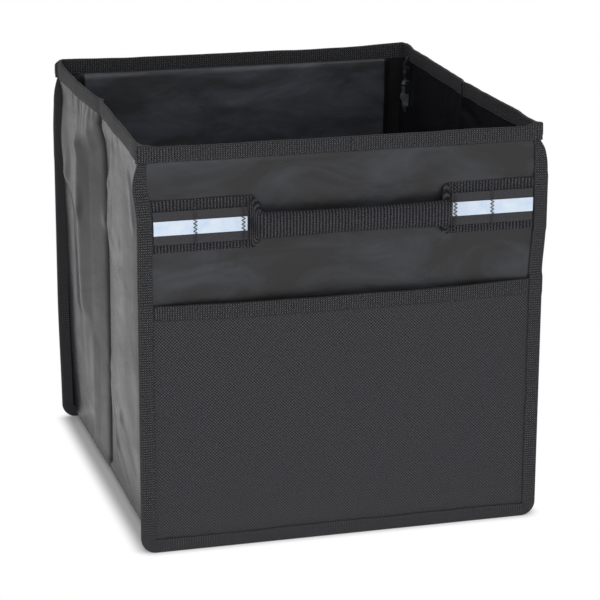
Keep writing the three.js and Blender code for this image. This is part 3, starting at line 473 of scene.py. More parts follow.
def stitch_tree():
    """Geometry Nodes: one stitch of thread on each edge of a line of edges."""
    tree = bpy.data.node_groups.new("stitches on a seam line", "GeometryNodeTree")
    face = tree.interface
    inputs = {"Seam line": "Geometry", "Thread radius": "Float", "Share on top": "Float", "Thread": "Material"}
    for name, kind in inputs.items():
        face.new_socket(name, in_out="INPUT", socket_type="NodeSocket" + kind)
    face.new_socket("Stitches", in_out="OUTPUT", socket_type="NodeSocketGeometry")
    given = add(tree, "NodeGroupInput").outputs
    ends = add(tree, "GeometryNodeInputMeshEdgeVertices")
    run = add(tree, "ShaderNodeVectorMath", {"operation": "SUBTRACT"}, {
        0: ends.outputs["Position 2"], 1: ends.outputs["Position 1"]})
    keep = tree.nodes.new("GeometryNodeCaptureAttribute")
    keep.domain = "EDGE"
    keep.capture_items.new("VECTOR", "Run")
    tree.links.new(given["Seam line"], keep.inputs[0])
    tree.links.new(run.outputs[0], keep.inputs[1])
    middles = add(tree, "GeometryNodeMeshToPoints", {"mode": "EDGES"}, {"Mesh": keep})
    length = add(tree, "ShaderNodeVectorMath", {"operation": "LENGTH"}, {0: keep.outputs[1]})
    half = add(tree, "ShaderNodeMath", {"operation": "MULTIPLY"}, {
        0: length.outputs["Value"], 1: given["Share on top"]})
    size = add(tree, "ShaderNodeCombineXYZ", inputs={
        "X": given["Thread radius"], "Y": given["Thread radius"], "Z": half})
    turned = add(tree, "FunctionNodeAlignRotationToVector", {"axis": "Z"}, {"Vector": keep.outputs[1]})
    stitch = add(tree, "GeometryNodeMeshUVSphere", inputs={"Segments": 8, "Rings": 5, "Radius": 1})
    placed = add(tree, "GeometryNodeInstanceOnPoints", inputs={
        "Points": middles, "Instance": stitch, "Rotation": turned, "Scale": size})
    real = add(tree, "GeometryNodeRealizeInstances", inputs={"Geometry": placed})
    soft = add(tree, "GeometryNodeSetShadeSmooth", inputs={"Geometry": real})
    dressed = add(tree, "GeometryNodeSetMaterial", inputs={"Geometry": soft, "Material": given["Thread"]})
    add(tree, "NodeGroupOutput", inputs={0: dressed})
    return tree


# Sewing thread: bonded polyester, twisted, a little glossy.
thread, tree = empty_material("black sewing thread")
place = add(tree, "ShaderNodeTexCoord").outputs["Object"]
twist = add(tree, "ShaderNodeTexNoise", inputs={"Vector": place, "Scale": 2500, "Detail": 2})
finish(tree, twist, 0x1A1A1C, 0x39393C, 0.5)

stitches_on = stitch_tree()
STITCH_LENGTH, THREAD_RADIUS, STITCH_DENT = 3, 0.22, 0.9


def spaced(points, step):
    """The same path with its points one stitch apart."""
    lengths = lengths_along(points)
    count = max(1, round(lengths[-1] / step))
    at = np.linspace(0, lengths[-1], count + 1)
    return np.stack([np.interp(at, lengths, points[:, k]) for k in range(3)], 1)


def sewn(name, paths, radius=THREAD_RADIUS, share=0.42):
    """Stitches along paths in millimetres, each path's every step being one stitch."""
    points = as_it_stands(np.concatenate(paths)) * MM
    starts = np.cumsum([0] + [len(p) for p in paths])
    edges = [(i, i + 1) for a, b in zip(starts, starts[1:]) for i in range(a, b - 1)]
    mesh = bpy.data.meshes.new(name)
    mesh.from_pydata(points.tolist(), edges, [])
    piece = new_object(name, mesh)
    modifier = piece.modifiers.new("stitches", "NODES")
    modifier.node_group = stitches_on
    values = {"Thread radius": radius * MM, "Share on top": share, "Thread": thread}
    for item in stitches_on.interface.items_tree:
        if item.name in values:
            modifier[item.identifier] = values[item.name]
    bpy.context.view_layer.update()
    shown = piece.evaluated_get(bpy.context.evaluated_depsgraph_get())
    made = bpy.data.meshes.new_from_object(shown)
    piece.modifiers.clear()
    piece.data = made
    made.name = name
    return piece


# Binding tape: black polypropylene, woven in close ribs, with a fine speckle of painted highlight on their
# crowns.
tape = woven_cloth(
    "black polypropylene binding tape", 0x0F0F10, 0x6A6A6E, 0.86, 0.9, 0.4, 0.7, uneven=0.5, ribbed=0.4)

HEM_GRID, HEM_SEAM = 2, 2.4
x = np.linspace(-(BINDING_EDGE - 0.4), BINDING_EDGE - 0.4, int(2 * BINDING_EDGE / HEM_GRID))
hem_low = POCKET_HEIGHT - HEM + 0.25 * soft_noise(x, 0, 14, 61)
hem_high = POCKET_HEIGHT + 0.2 * soft_noise(x, 0, 22, 62)


def hem_line(x, low, high):
    """The tape's inner faces, from its front edge up, over the pocket's edge and down behind."""
    columns = []
    outer = lambda z: OUTER_FACE - pocket_stand_off(x, z) - POCKET_CLOTH - LAYER_GAP - TAPE
    inner = lambda z: OUTER_FACE - pocket_stand_off(x, z) + LAYER_GAP + TAPE
    top = POCKET_TOP
    for share in np.linspace(0, 1, 9):
        z = low + (high - HEM_FOLD - low) * share
        dent = 0.25 * hump(z - low - HEM_SEAM, STITCH_DENT)
        columns.append((outer(np.minimum(z, top)) + dent, z))
    columns.append((outer(top) + HEM_FOLD * 0.3, high - HEM_FOLD * 0.3))
    columns.append((outer(top) + HEM_FOLD, high))
    columns.append((inner(top) - HEM_FOLD, high))
    columns.append((inner(top) - HEM_FOLD * 0.3, high - HEM_FOLD * 0.3))
    for share in np.linspace(1, 0, 5):
        z = low + (high - HEM_FOLD - low) * share
        columns.append((inner(np.minimum(z, top)), z))
    return tape_lines(columns)


outline = cloth_outline(hem_line(x, hem_low, hem_high), 0, TAPE)
hem = lofted("front_pocket_hem", on_panel(x[:, None], outline[..., 0], outline[..., 1]), tape)
hold(hem, "binding_tape", "front_pocket_hem_tape")
seam_z = hem_low + HEM_SEAM
seam_depth = OUTER_FACE - pocket_stand_off(x, seam_z) - POCKET_CLOTH - LAYER_GAP - TAPE + 0.2
hem_seam = spaced(on_panel(x, seam_depth, seam_z), STITCH_LENGTH)
hold(sewn("front_pocket_hem_stitches", [hem_seam]), "sewing_thread")


# Handles.
# Each is one length of 38 mm polypropylene webbing, sewn flat to the panel at both ends. Between them it rises
# off the panel, and its edges are folded back so that the grip is half as high as the webbing.
WEBBING, WEBBING_WIDTH, WEBBING_CENTRE, WEBBING_END = 1.2, 38, 245.5, 1.5
GRIP_DROP, GRIP_HEIGHT, GRIP_END_HEIGHT, GRIP_FOLD_RADIUS, SELVEDGE_TURN = 1, 17.5, 20, 2.6, 0.4
RIB_PITCH, RIB_HEIGHT, RIB_LEAN, WEBBING_STEP = 2.4, 0.2, 0.12, 0.5
RISING_END = {"fold": 72.8, "turn": 70, "first": 2.6, "riser": 7.2, "second": 6.6}
BULGING_END = {"fold": 79.5, "turn": 100, "first": 2.4, "riser": 3, "second": 6.4}

webbing = woven_cloth(
    "black polypropylene webbing", 0x131314, 0x66666C, 0.6, 1.2, 0.3, 0.75, uneven=0.5, ribbed=0.5)


def handle_end(fold, turn, first, riser, second):
    """Half a handle's path from the fin inwards: place, height off the panel, turn, and share folded back."""
    flat, full = LAYER_GAP + WEBBING / 2, math.radians(turn)
    start, length = WIDTH / 2 - WEBBING_END, first * full
    s = np.arange(0, start - fold + length + riser + second * full, WEBBING_STEP) - (start - fold)
    on_first = np.clip(s / first, 0, full)
    on_riser = np.clip(s - length, 0, riser)
    on_second = np.clip((s - length - riser) / second, 0, full)
    x = fold - np.minimum(s, 0) - first * np.sin(on_first) - on_riser * math.cos(full)
    x = x - second * (math.sin(full) - np.sin(full - on_second))
    off = flat + first * (1 - np.cos(on_first)) + on_riser * math.sin(full)
    off = off + second * (np.cos(full - on_second) - math.cos(full))
    before = first * math.radians(25)
    folded = np.clip((s - before) / (length + riser - before), 0, 1)
    return np.stack([x, off, on_first - on_second, folded], -1)


def webbing_section(turned, h):
    """Where each thread h across the webbing lies when a length of each edge is turned back."""
    middle = WEBBING_WIDTH / 2 - turned
    bend = np.minimum(turned * 0.8, GRIP_FOLD_RADIUS * math.pi)
    beyond = np.maximum(0, np.abs(h) - middle)
    angle = np.minimum(beyond, bend) / GRIP_FOLD_RADIUS
    flap = np.maximum(0, beyond - bend)
    back = -GRIP_FOLD_RADIUS * (1 - np.cos(angle)) - flap * np.sin(angle)
    high = np.minimum(np.abs(h), middle) + GRIP_FOLD_RADIUS * np.sin(angle) + flap * np.cos(angle)
    return np.stack([back, np.sign(h) * high], -1)


def handle_webbing(name, left_end, right_end, rear, seed):
    left, right = handle_end(**left_end), handle_end(**right_end)[::-1]
    left = left * (-1, 1, 1, 1)
    face = np.concatenate([-np.sin(left[:, 2]), np.sin(right[:, 2])])
    span = right[0, 0] - left[-1, 0]
    t = np.linspace(0, 1, round(span / WEBBING_STEP) + 1)[1:-1, None]
    run = left[-1] * (1 - t) + right[0] * t
    sag = np.sin(t[:, 0] * math.pi)
    run[:, 1] += 0.7 * soft_noise(run[:, 0], 0, 45, seed) * sag
    path = np.concatenate([left, run, right])
    x, off, turn, folded = path.T
    face = np.insert(face, len(left), np.zeros(len(run)))
    sag = np.concatenate([np.zeros(len(left)), sag, np.zeros(len(right))])
    height = GRIP_END_HEIGHT + (GRIP_HEIGHT - GRIP_END_HEIGHT) * sag
    full_turn = WEBBING_WIDTH / 2 + GRIP_FOLD_RADIUS + WEBBING / 2 - height / 2
    turned = np.maximum(SELVEDGE_TURN, folded * full_turn)
    h = np.linspace(-WEBBING_WIDTH / 2, WEBBING_WIDTH / 2, 39)
    section = webbing_section(turned[:, None], h[None])
    along = lengths_along(path[:, :2])
    selvedge = fade(np.abs(h), WEBBING_WIDTH / 2, 1.5)
    rib = RIB_HEIGHT * selvedge * np.cos(2 * math.pi * (along[:, None] + RIB_LEAN * h) / RIB_PITCH)
    line = cloth_outline(section, WEBBING / 2 + rib, WEBBING / 2 - 0.1 + rib)
    centre = WEBBING_CENTRE - GRIP_DROP * folded
    b = line[..., 0]
    rings = on_panel(
        x[:, None] + face[:, None] * b, OUTER_FACE - off[:, None] - np.cos(turn)[:, None] * b,
        centre[:, None] + line[..., 1], rear)
    return lofted(name, rings, webbing, along=along, sharp=60)


# Ribbon and silver strip: a 24 mm black ribbon lies on each sewn end, with a 10 mm reflective strip on it.
RIBBON, RIBBON_WIDTH, REFLECTOR, REFLECTOR_WIDTH, STRIPS_CENTRE = 0.4, 24, 0.3, 10.3, WEBBING_CENTRE - 1
ON_WEBBING = 2 * LAYER_GAP + WEBBING + 0.15

ribbon_cloth = woven_cloth("black polyester ribbon", 0x333335, 0x4E4E51, 0.55, 0.55, 0.08, 0.6, uneven=0.6)

silver, tree = empty_material("silver reflective tape, glass beads in clear film")
flat = add(tree, "ShaderNodeUVMap", {"uv_map": "cloth"})
beads = add(tree, "ShaderNodeTexNoise", {"noise_dimensions": "2D"}, {
    "Vector": flat, "Scale": 0.12, "Detail": 4})
finish(tree, beads, 0xC6DCF8, 0xEFF7FF, 0.35, {"Height": beads, "Distance": 0.0001})


def strap_strip(name, side, fold, width, off, thickness, material, rear):
    """A thin strip on a sewn end, pressed in a little under each zigzag row."""
    x = np.arange(fold + 0.3, BINDING_EDGE - 0.3, 1.0)
    depth, reach = ZIGZAG_PRESS
    press = sum(depth * hump(x - row, reach) for row in (fold + ZIGZAG_FROM_FOLD, ZIGZAG_OUTER))
    h = np.linspace(-width / 2, width / 2, 9)
    crown = 0.1 * (1 - (2 * np.abs(h) / width) ** 6)
    top = OUTER_FACE - off - thickness - crown[None] + press[:, None]
    under = OUTER_FACE - off + 0 * top
    rings = sheet_rings(side * x[:, None], top, under, STRIPS_CENTRE + h[None], rear)
    return lofted(name, rings, material, along=x)


# Zigzag rows: two bartacks of black thread across each sewn end, over the ribbon and the strip.
ZIGZAG_OUTER, ZIGZAG_FROM_FOLD, ZIGZAG_WIDTH, ZIGZAG_PITCH, ZIGZAG_MARGIN = 111, 3.2, 2.6, 2.7, 1
ZIGZAG_RADIUS, ZIGZAG_SHARE, ZIGZAG_PRESS = 0.32, 0.62, (0.12, 1.6)


def zigzag(x, rear):
    low = WEBBING_CENTRE - WEBBING_WIDTH / 2 + ZIGZAG_MARGIN
    count = 2 * round((WEBBING_WIDTH - 2 * ZIGZAG_MARGIN) / ZIGZAG_PITCH)
    z = np.linspace(low, low + WEBBING_WIDTH - 2 * ZIGZAG_MARGIN, count + 1)
    from_centre = np.abs(z - STRIPS_CENTRE)
    off = ON_WEBBING + 0.35 + (RIBBON + LAYER_GAP) * (from_centre < RIBBON_WIDTH / 2)
    off = off + (REFLECTOR + LAYER_GAP) * (from_centre < REFLECTOR_WIDTH / 2 + 1)
    across = x + (np.arange(count + 1) % 2 - 0.5) * ZIGZAG_WIDTH
    return on_panel(across, OUTER_FACE - off, z, rear)


for side, ends, seed in (("front", (RISING_END, BULGING_END), 71), ("rear", (RISING_END, RISING_END), 72)):
    rear = side == "rear"
    hold(handle_webbing(f"{side}_handle", *ends, rear, seed), "webbing", f"{side}_handle_webbing")
    for sign, label, end in ((-1, "left", ends[0]), (1, "right", ends[1])):
        fold = end["fold"]
        ribbon = strap_strip(
            f"{side}_ribbon_strip_{label}", sign, fold, RIBBON_WIDTH, ON_WEBBING, RIBBON, ribbon_cloth, rear)
        hold(ribbon, "ribbon", f"{side}_ribbon_{label}")
        strip = strap_strip(
            f"{side}_silver_strip_{label}", sign, fold, REFLECTOR_WIDTH, ON_WEBBING + RIBBON + LAYER_GAP + 0.1,
            REFLECTOR, silver, rear)
        hold(strip, "reflective_tape", f"{side}_reflector_{label}")
        for row, x in (("inner", fold + ZIGZAG_FROM_FOLD), ("outer", ZIGZAG_OUTER)):
            rows = sewn(f"{side}_bartack_{label}_{row}", [zigzag(sign * x, rear)], ZIGZAG_RADIUS, ZIGZAG_SHARE)
            hold(rows, "sewing_thread", f"{side}_zigzag_{label}_{row}")


# Side and bottom strip.
# One soft piece of the coated cloth makes the left side, the bottom and the right side. Its edges are turned
# out and bound with the panels' edges, and each side keeps the creases of being folded flat.
SIDE_SEAM, RIM_SEAM, RIM_SEAM_HEIGHT, BOTTOM_SEAM, SEAM_CORNER, SEAM_BEND = 10, 3.2, 40, 9.8, 4, 0.8
BOTTOM_SAG, SAG_REACH, STRIP_CLOTH = 5.5, 9, 0.6
GROOVE_DEPTH, GROOVE_WIDTH = 2.8, 3
FLANGE_FACE = BOARD_FACE + LINING + LAYER_GAP
FLANGE_BACK = FLANGE_FACE + STRIP_CLOTH
WALL_FRONT = FLANGE_BACK - DEPTH / 2
WALL_REACH = -WALL_FRONT - SEAM_BEND
# How far each wall stands out from the line of its seams, in tenths of a millimetre: a row for each of these
# shares of the height, which runs from the front seam through the crease, at its middle, to the rear seam.
WALL_PLACES = [-1, -0.95, -0.75, -0.5, -0.25, 0, 0.25, 0.5, 0.75, 0.95, 1]
WALL_LEVELS = [0.046, 0.164, 0.328, 0.492, 0.656, 0.738, 0.826, 0.885, 0.955]
LEFT_WALL = np.array([
    [0, 2, 4, 2, -3, -9, -1, 4, 5, 2, 0],
    [0, 10, 21, 21, 10, -15, 6, 20, 19, 14, 0],
    [0, 13, 29, 31, 17, -17, 14, 37, 30, 20, 0],
    [0, 15, 32, 35, 19, -18, 20, 52, 44, 31, 7],
    [0, 17, 35, 38, 21, -19, 25, 65, 59, 45, 19],
    [0, 19, 37, 38, 21, -20, 27, 70, 63, 50, 24],
    [0, 23, 36, 35, 18, -20, 30, 72, 63, 50, 26],
    [0, 22, 29, 23, 10, -18, 38, 49, 52, 49, 40],
    [0, 22, 19, 8, -2, -14, 9, 22, 25, 24, 22]]) / 10
RIGHT_WALL = np.array([
    [0, 2, 4, 2, -3, -9, -1, 4, 5, 2, 0],
    [0, 8, 16, 15, 6, -9, 6, 14, 14, 6, 0],
    [0, 12, 24, 24, 13, -8, 13, 24, 20, 9, 0],
    [0, 14, 28, 28, 15, -7, 16, 29, 23, 10, 0],
    [0, 14, 30, 30, 16, -6, 19, 34, 26, 11, 0],
    [0, 14, 28, 26, 12, -8, 18, 34, 28, 13, 0],
    [0, 14, 24, 18, 4, -11, 15, 30, 30, 18, 0],
    [0, 12, 10, 0, -12, -22, -2, 12, 18, 16, 0],
    [0, 6, -4, -22, -30, -31, -20, -14, -4, 4, 0]]) / 10
# The crease down each wall: its place from front to back at the floor and at the rim
LEFT_CREASE, RIGHT_CREASE = (5, 9.5), (0, -8)
# Folds pressed into each side: depth and height where one starts and where it ends, how far it stands out, and
# its width above and below
LEFT_FOLDS = [
    (152, 260, 126, 218, 1.7, 24, 12), (126, 218, 82, 198, 1.4, 24, 10), (9, 287, 78, 254, 2.2, 16, 22),
    (80, 254, 84, 120, 1.5, 30, 26), (-38, 277, -12, 243, 1.2, 12, 10), (-12, 243, 6, 210, 1.2, 14, 10),
    (-98, 268, -112, 238, 0.9, 8, 8), (14, 208, -58, 206, 0.8, 10, 7), (10, 202, -22, 188, 0.7, 9, 6),
    (6, 96, -50, 66, 0.9, 9, 6), (-50, 66, -92, 36, 0.9, 12, 6), (2, 84, -30, 40, 0.9, 8, 12),
    (-30, 40, -96, 2, 1.0, 8, 14), (52, 96, 60, 6, 0.9, 18, 14)]
RIGHT_FOLDS = [
    (-8, 290, -38, 276, 1.6, 7, 10), (-38, 276, -34, 150, 1.2, 16, 16), (150, 250, 70, 200, 1.4, 24, 16),
    (6, 100, 90, 30, 1.0, 12, 12)]


def u_run(levels, half_width_at, bottom, radius, corner_steps=6, bottom_steps=44):
    """Down a panel's left side, along its bottom and up the right: x, z, the way out, and turn to bottom."""
    a = np.radians(np.linspace(0, 90, corner_steps + 1))
    corner = float(half_width_at(bottom + radius)) - radius
    side = np.stack([-half_width_at(levels), levels, -1 + 0 * levels, 0 * levels, 0 * levels], 1)
    bend = np.stack([
        -corner - radius * np.cos(a), bottom + radius - radius * np.sin(a), -np.cos(a), -np.sin(a),
        np.sin(a) ** 2], 1)
    x = np.linspace(-corner, 0, bottom_steps // 2 + 1)[1:]
    under = np.stack([x, bottom + 0 * x, 0 * x, -1 + 0 * x, 1 + 0 * x], 1)
    left = np.concatenate([side, bend, under])
    return np.concatenate([left, (left * (-1, 1, -1, 1, 1))[-2::-1]])


def seam_half_width(z):
    t = np.clip((np.minimum(z, RIM_ZONE) - (RIM_ZONE - RIM_SEAM_HEIGHT)) / RIM_SEAM_HEIGHT, 0, 1)
    low, high = WIDTH / 2 - SIDE_SEAM, WIDTH / 2 - FIN_DRAW_IN - RIM_SEAM
    return low + (high - low) * t * t


def crease_at(left, z):
    low, high = LEFT_CREASE if left else RIGHT_CREASE
    return low + (high - low) * np.minimum(z, RIM_ZONE) / HEIGHT


def standing_out(left, y, z):
    """The wall's relief at one height, read from its table and softened between the table's places."""
    wall = LEFT_WALL if left else RIGHT_WALL
    crease = crease_at(left, z)
    away = (y - crease) / (WALL_REACH - crease * np.sign(y - crease))
    relief = 0
    for up, up_share in ((-10, 0.25), (0, 0.5), (10, 0.25)):
        level = min(z + up, RIM_ZONE)
        row = [np.interp(level / HEIGHT, WALL_LEVELS, column) for column in wall.T]
        for along, share in ((-0.025, 0.25), (0, 0.5), (0.025, 0.25)):
            relief = relief + up_share * share * np.interp(away + along, WALL_PLACES, row)
    return relief


def fold_height(y, z, start_y, start_z, end_y, end_z, height, above, below):
    """A pressed fold: a sharp ridge with a flat face on each side, which runs out past its ends."""
    run = np.subtract((end_y, end_z), (start_y, start_z))
    length = math.hypot(*run)
    run = run / length
    s = (y - start_y) * run[0] + (z - start_z) * run[1]
    d = (y - start_y) * run[1] - (z - start_z) * run[0]
    ends = smooth(1 + s / 12) * smooth(1 + (length - s) / 12)
    return height * ends * np.maximum(0, 1 - np.sqrt(d * d + 0.4) / np.where(d > 0, above, below))


def wall_inward(left, y, z):
    """How far a side wall lies inside the line of its seams."""
    level = min(z, RIM_ZONE)
    near = np.abs(y - crease_at(left, level))
    groove = GROOVE_DEPTH * np.exp(-near / GROOVE_WIDTH)
    free = fade(np.abs(y), WALL_REACH, 14)
    below_rim = fade(level, RIM_ZONE, 10)
    shape = sum(fold_height(y, level, *fold) for fold in (LEFT_FOLDS if left else RIGHT_FOLDS))
    uneven = 0.22 * soft_noise(y, level * 0.5, 42, 81 + left) + 0.12 * soft_noise(y, level * 0.6, 17, 83 + left)
    # The cloth is crumpled in the rear right corner, where it is gathered into the seam
    high = rise(z, CRUMPLE_LOW, 6) * fade(z, CRUMPLE_HIGH, 3)
    line = rise(z, 150, 60) * fade(z, CRUMPLE_HIGH, 3)
    gather = (3.4 + 0.8 * soft_noise(y, z * 0.7, 3.4, 89) + 1.2 * soft_noise(y * 0.5, z, 8, 92)) * high + line
    groove = groove + (not left) * gather * hump(y - CRUMPLE_PLACE, 4)
    gathered = fade(np.abs(np.abs(y - 12) - 55), 46, 20)
    pucker = (0.3 + 0.45 * gathered) * np.exp(-(RIM_ZONE - level) / 11)
    pucker = pucker * soft_noise(y, level * 0.2, 4.6, 85 + left)
    return groove - standing_out(left, y, level) - free * (below_rim * (shape + uneven) + pucker)


# The crumple in the rear right corner: its depth in the box, the heights between which it runs, and the half
# width of the painted highlight on it
CRUMPLE_PLACE, CRUMPLE_LOW, CRUMPLE_HIGH, CRUMPLE_WIDTH = 145.5, 250, 296, 3.4
STRIP_GRID = 3
strip_levels = np.concatenate([
    [CLOTH_TOP, 298, RIM_ZONE], np.arange(RIM_ZONE - 1.5, 255, -1.5), np.arange(255, 16.8, -STRIP_GRID)])
strip_seam = u_run(strip_levels, seam_half_width, BOTTOM_SEAM, SEAM_CORNER)
strip_flange = u_run(
    strip_levels, lambda z: fin_half_width(z) - CLOTH_MARGIN, CLOTH_MARGIN, FIN_CORNER - CLOTH_MARGIN)
# Where each column of the strip lies: 0 at the crease, 1 at a seam, closer together near both
column_shares = np.concatenate([
    [0, 0.006, 0.014, 0.025, 0.04], np.linspace(0.06, 0.93, 46), [0.945, 0.96, 0.972, 0.984, 0.993, 1]])


def strip_rings():
    rings = []
    for station, edge in zip(strip_seam, strip_flange):
        x, z, out_x, out_z, turned = station
        crease = crease_at(x < 0, z)
        front = crease + (-WALL_REACH - crease) * column_shares[::-1]
        back = crease + (WALL_REACH - crease) * column_shares[1:]
        y = np.concatenate([front, back])
        sag = BOTTOM_SAG * turned * np.sin(np.clip((WALL_REACH - np.abs(y)) / SAG_REACH, 0, 1) * np.pi / 2)
        inward = wall_inward(x < 0, y, z) * (1 - turned) * fade(np.abs(y), WALL_REACH, 2)
        sag = sag + 0.5 * turned * soft_noise(x, y, 40, 87)
        width = math.hypot(edge[0] - x, edge[1] - z)
        bend = SEAM_BEND * 0.3
        line = np.concatenate([
            [[width, WALL_FRONT], [SEAM_BEND, WALL_FRONT], [bend, WALL_FRONT + bend]],
            np.stack([sag - inward, y], 1),
            [[bend, -WALL_FRONT - bend], [SEAM_BEND, -WALL_FRONT], [width, -WALL_FRONT]]])
        outline = cloth_outline(line, STRIP_CLOTH, 0)
        out, across = outline.T
        flange = np.zeros(len(line), bool)
        flange[:3] = flange[-3:] = True
        flange = np.concatenate([flange, flange[::-1]])
        share = np.where(flange, np.clip(out / width, 0, 1), 0)
        plain = np.where(flange, np.minimum(out, 0), out)
        rings.append(np.stack([
            x + (edge[0] - x) * share + out_x * plain, across, z + (edge[1] - z) * share + out_z * plain], 1))
    return np.array(rings)


strip_cloth = coated_cloth("black coated polyester, soft strip", 0x18181A, 0x222327, 0.25, 0.075, 0.3)
# A paler copy of the strip's cloth for the crumple in the rear right corner: a painted highlight for its
# glints.
crumple_painted_highlight_cloth = coated_cloth(
    "black coated polyester, painted highlight on the crumple", 0x1C1D20, 0x65676D, 0.3, 0.5, 1.5)
strip = lofted("side_and_bottom_cloth", strip_rings(), strip_cloth, sharp=50)
strip.data.materials.append(crumple_painted_highlight_cloth)
centres, normals = np.empty((2, len(strip.data.polygons), 3))
strip.data.polygons.foreach_get("center", centres.ravel())
strip.data.polygons.foreach_get("normal", normals.ravel())
x, y, z = centres.T / MM
# The crumple's faces that turn into the box get the paler copy, as a painted highlight.
at_crumple = np.abs(y - CRUMPLE_PLACE + 2 * soft_noise(z, 0, 4, 90)) < CRUMPLE_WIDTH + soft_noise(z, 9, 7, 90)
pale = (x > 130) & (normals[:, 0] < 0) & at_crumple & (z > CRUMPLE_LOW) & (z < CRUMPLE_HIGH)
strip.data.polygons.foreach_set("material_index", pale.astype(np.int32))
hold(strip, "soft_strip_cloth", "side_and_bottom_strip")


# Edge bindings.
# One polypropylene tape for each panel, folded over the fin down the left side, round the bottom and up the
# right. It is sewn through near its inner edge, and goes over the pocket and the handle's ends.
BINDING_FOLD = 1.2
BINDING_BACK = FLANGE_BACK + LAYER_GAP + TAPE
BINDING_SEAM = 2.2
WEBBING_LAYER = (WEBBING_CENTRE - WEBBING_WIDTH / 2, WEBBING_CENTRE + WEBBING_WIDTH / 2, WEBBING + LAYER_GAP)
POCKET_LAYERS = [
    (-HEIGHT, POCKET_HEIGHT, POCKET_CLOTH + LAYER_GAP),
    (POCKET_HEIGHT - HEM, POCKET_HEIGHT, POCKET_CLOTH + TAPE + 2 * LAYER_GAP)]


def under_binding(z, layers):
    """Thickness that lies between the outer cloth and the binding at a height."""
    beyond = [np.maximum(low - z, z - high) - 0.5 for low, high, _ in layers]
    return np.max([t * (1 - smooth(b / STEP_FADE)) for b, (_, _, t) in zip(beyond, layers)], 0)


def binding(side, layers, seed):
    rear = side == "rear"
    levels = np.concatenate([[CLOTH_TOP], np.arange(RIM_ZONE, 24, -2.0)])
    fin = u_run(levels, fin_half_width, 0, FIN_CORNER, 10, 120)
    seam = u_run(levels, seam_half_width, BOTTOM_SEAM, SEAM_CORNER, 10, 120)
    x, z, out_x, out_z, turned = fin.T
    along = lengths_along(fin[:, :2])
    front = OUTER_FACE - LAYER_GAP - under_binding(z, layers) - TAPE
    away = (x - seam[:, 0]) * out_x + (z - seam[:, 1]) * out_z
    leg = BINDING_LEG - (WIDTH / 2 - fin_half_width(z)) * (1 - turned)
    wander = 0.35 * soft_noise(along, 0, 26, seed) + 0.15 * soft_noise(along, 0, 9, seed + 1)
    outer_leg = leg + wander * fade(z, 300, 10)
    inner_leg = np.minimum(BINDING_LEG, away - 2 * STRIP_CLOTH)
    puff = 0.18 * soft_noise(along, 0, 12, seed + 2)
    fold, columns = BINDING_FOLD, []
    for share in np.linspace(1, 0, 12):
        inward = fold + (outer_leg - fold) * share
        dent = 0.3 * hump(outer_leg - inward - BINDING_SEAM, STITCH_DENT)
        columns.append((inward, front + dent - (0.15 + puff) * math.sin(math.pi * share)))
    back = BINDING_BACK + 0 * front
    for leg, way, degrees in ((front, 1, (22, 45, 68, 90)), (back, -1, (90, 68, 45, 22))):
        for angle in np.radians(degrees):
            columns.append((fold * (1 - np.sin(angle)), leg + way * fold * (1 - np.cos(angle))))
    for share in np.linspace(0, 1, 6):
        columns.append((fold + (inner_leg - fold) * share, back))
    inward, depth = np.moveaxis(cloth_outline(tape_lines(columns), 0, TAPE), -1, 0)
    place = lambda inward, depth: on_panel(
        x[:, None] - out_x[:, None] * inward, depth, z[:, None] - out_z[:, None] * inward, rear)
    piece = lofted(f"{side}_edge_tape", place(inward, depth), tape, along=along)
    hold(piece, "binding_tape", f"{side}_edge_binding")
    seen = z < RIM_ZONE
    rows = [
        place((outer_leg - BINDING_SEAM)[:, None], (front + 0.22)[:, None])[seen, 0],
        place((inner_leg - 1.2)[:, None], BINDING_BACK + 0.12 + 0 * x[:, None])[seen, 0]]
    return hold(sewn(f"{side}_edge_stitches", [spaced(row, STITCH_LENGTH) for row in rows]), "sewing_thread")


binding("front", [WEBBING_LAYER, *POCKET_LAYERS], 91)
binding("rear", [WEBBING_LAYER], 95)


# Rim binding.
# The same tape, folded over the top edge all the way round. It runs over the ends of both edge bindings, so the
# corners are thick and round, and it follows the soft walls between them.
RIM_FOLD = 0.9


def rim_corner(left, end):
    """Pairs of points that the tape's legs follow round a corner: outside round the fin, inside the seam."""
    fin, seam = float(fin_half_width(HEIGHT)), float(seam_half_width(HEIGHT))
    outside = OUTER_FACE - LAYER_GAP
    over = outside - TAPE - LAYER_GAP
    behind, inside = BINDING_BACK + LAYER_GAP, FLANGE_FACE
    inward = lambda depth: float(wall_inward(left, end * (DEPTH / 2 - depth), HEIGHT))
    on_wall = lambda depth, off: (seam - inward(depth) + off, depth)
    return [
        ((BINDING_EDGE - 1.2, outside), (seam - 3.5, inside)),
        ((BINDING_EDGE - 0.2, over), (seam - 2.9, inside)),
        ((fin - 1.8, over - 0.5), (seam - 2.6, inside)),
        ((fin - 0.2, over - 0.3), (seam - 2.3, inside)),
        ((fin + 0.9, over + 1.0), (seam - 1.9, inside + 0.1)),
        ((fin + 1.2, (over + behind) / 2), (seam - 1.6, inside + 0.2)),
        ((fin + 0.9, behind - 1.0), (seam - 1.4, inside + 0.4)),
        ((fin - 0.2, behind + 0.3), (seam - 1.2, inside + 0.6)),
        ((fin - 1.4, behind + 0.5), (seam - 1.0, inside + 0.9)),
        ((seam + 1.0, behind + 0.4), (seam - 0.8, inside + 1.3)),
        (on_wall(behind + 2.7, LAYER_GAP), on_wall(inside + 2.7, -STRIP_CLOTH - LAYER_GAP))]


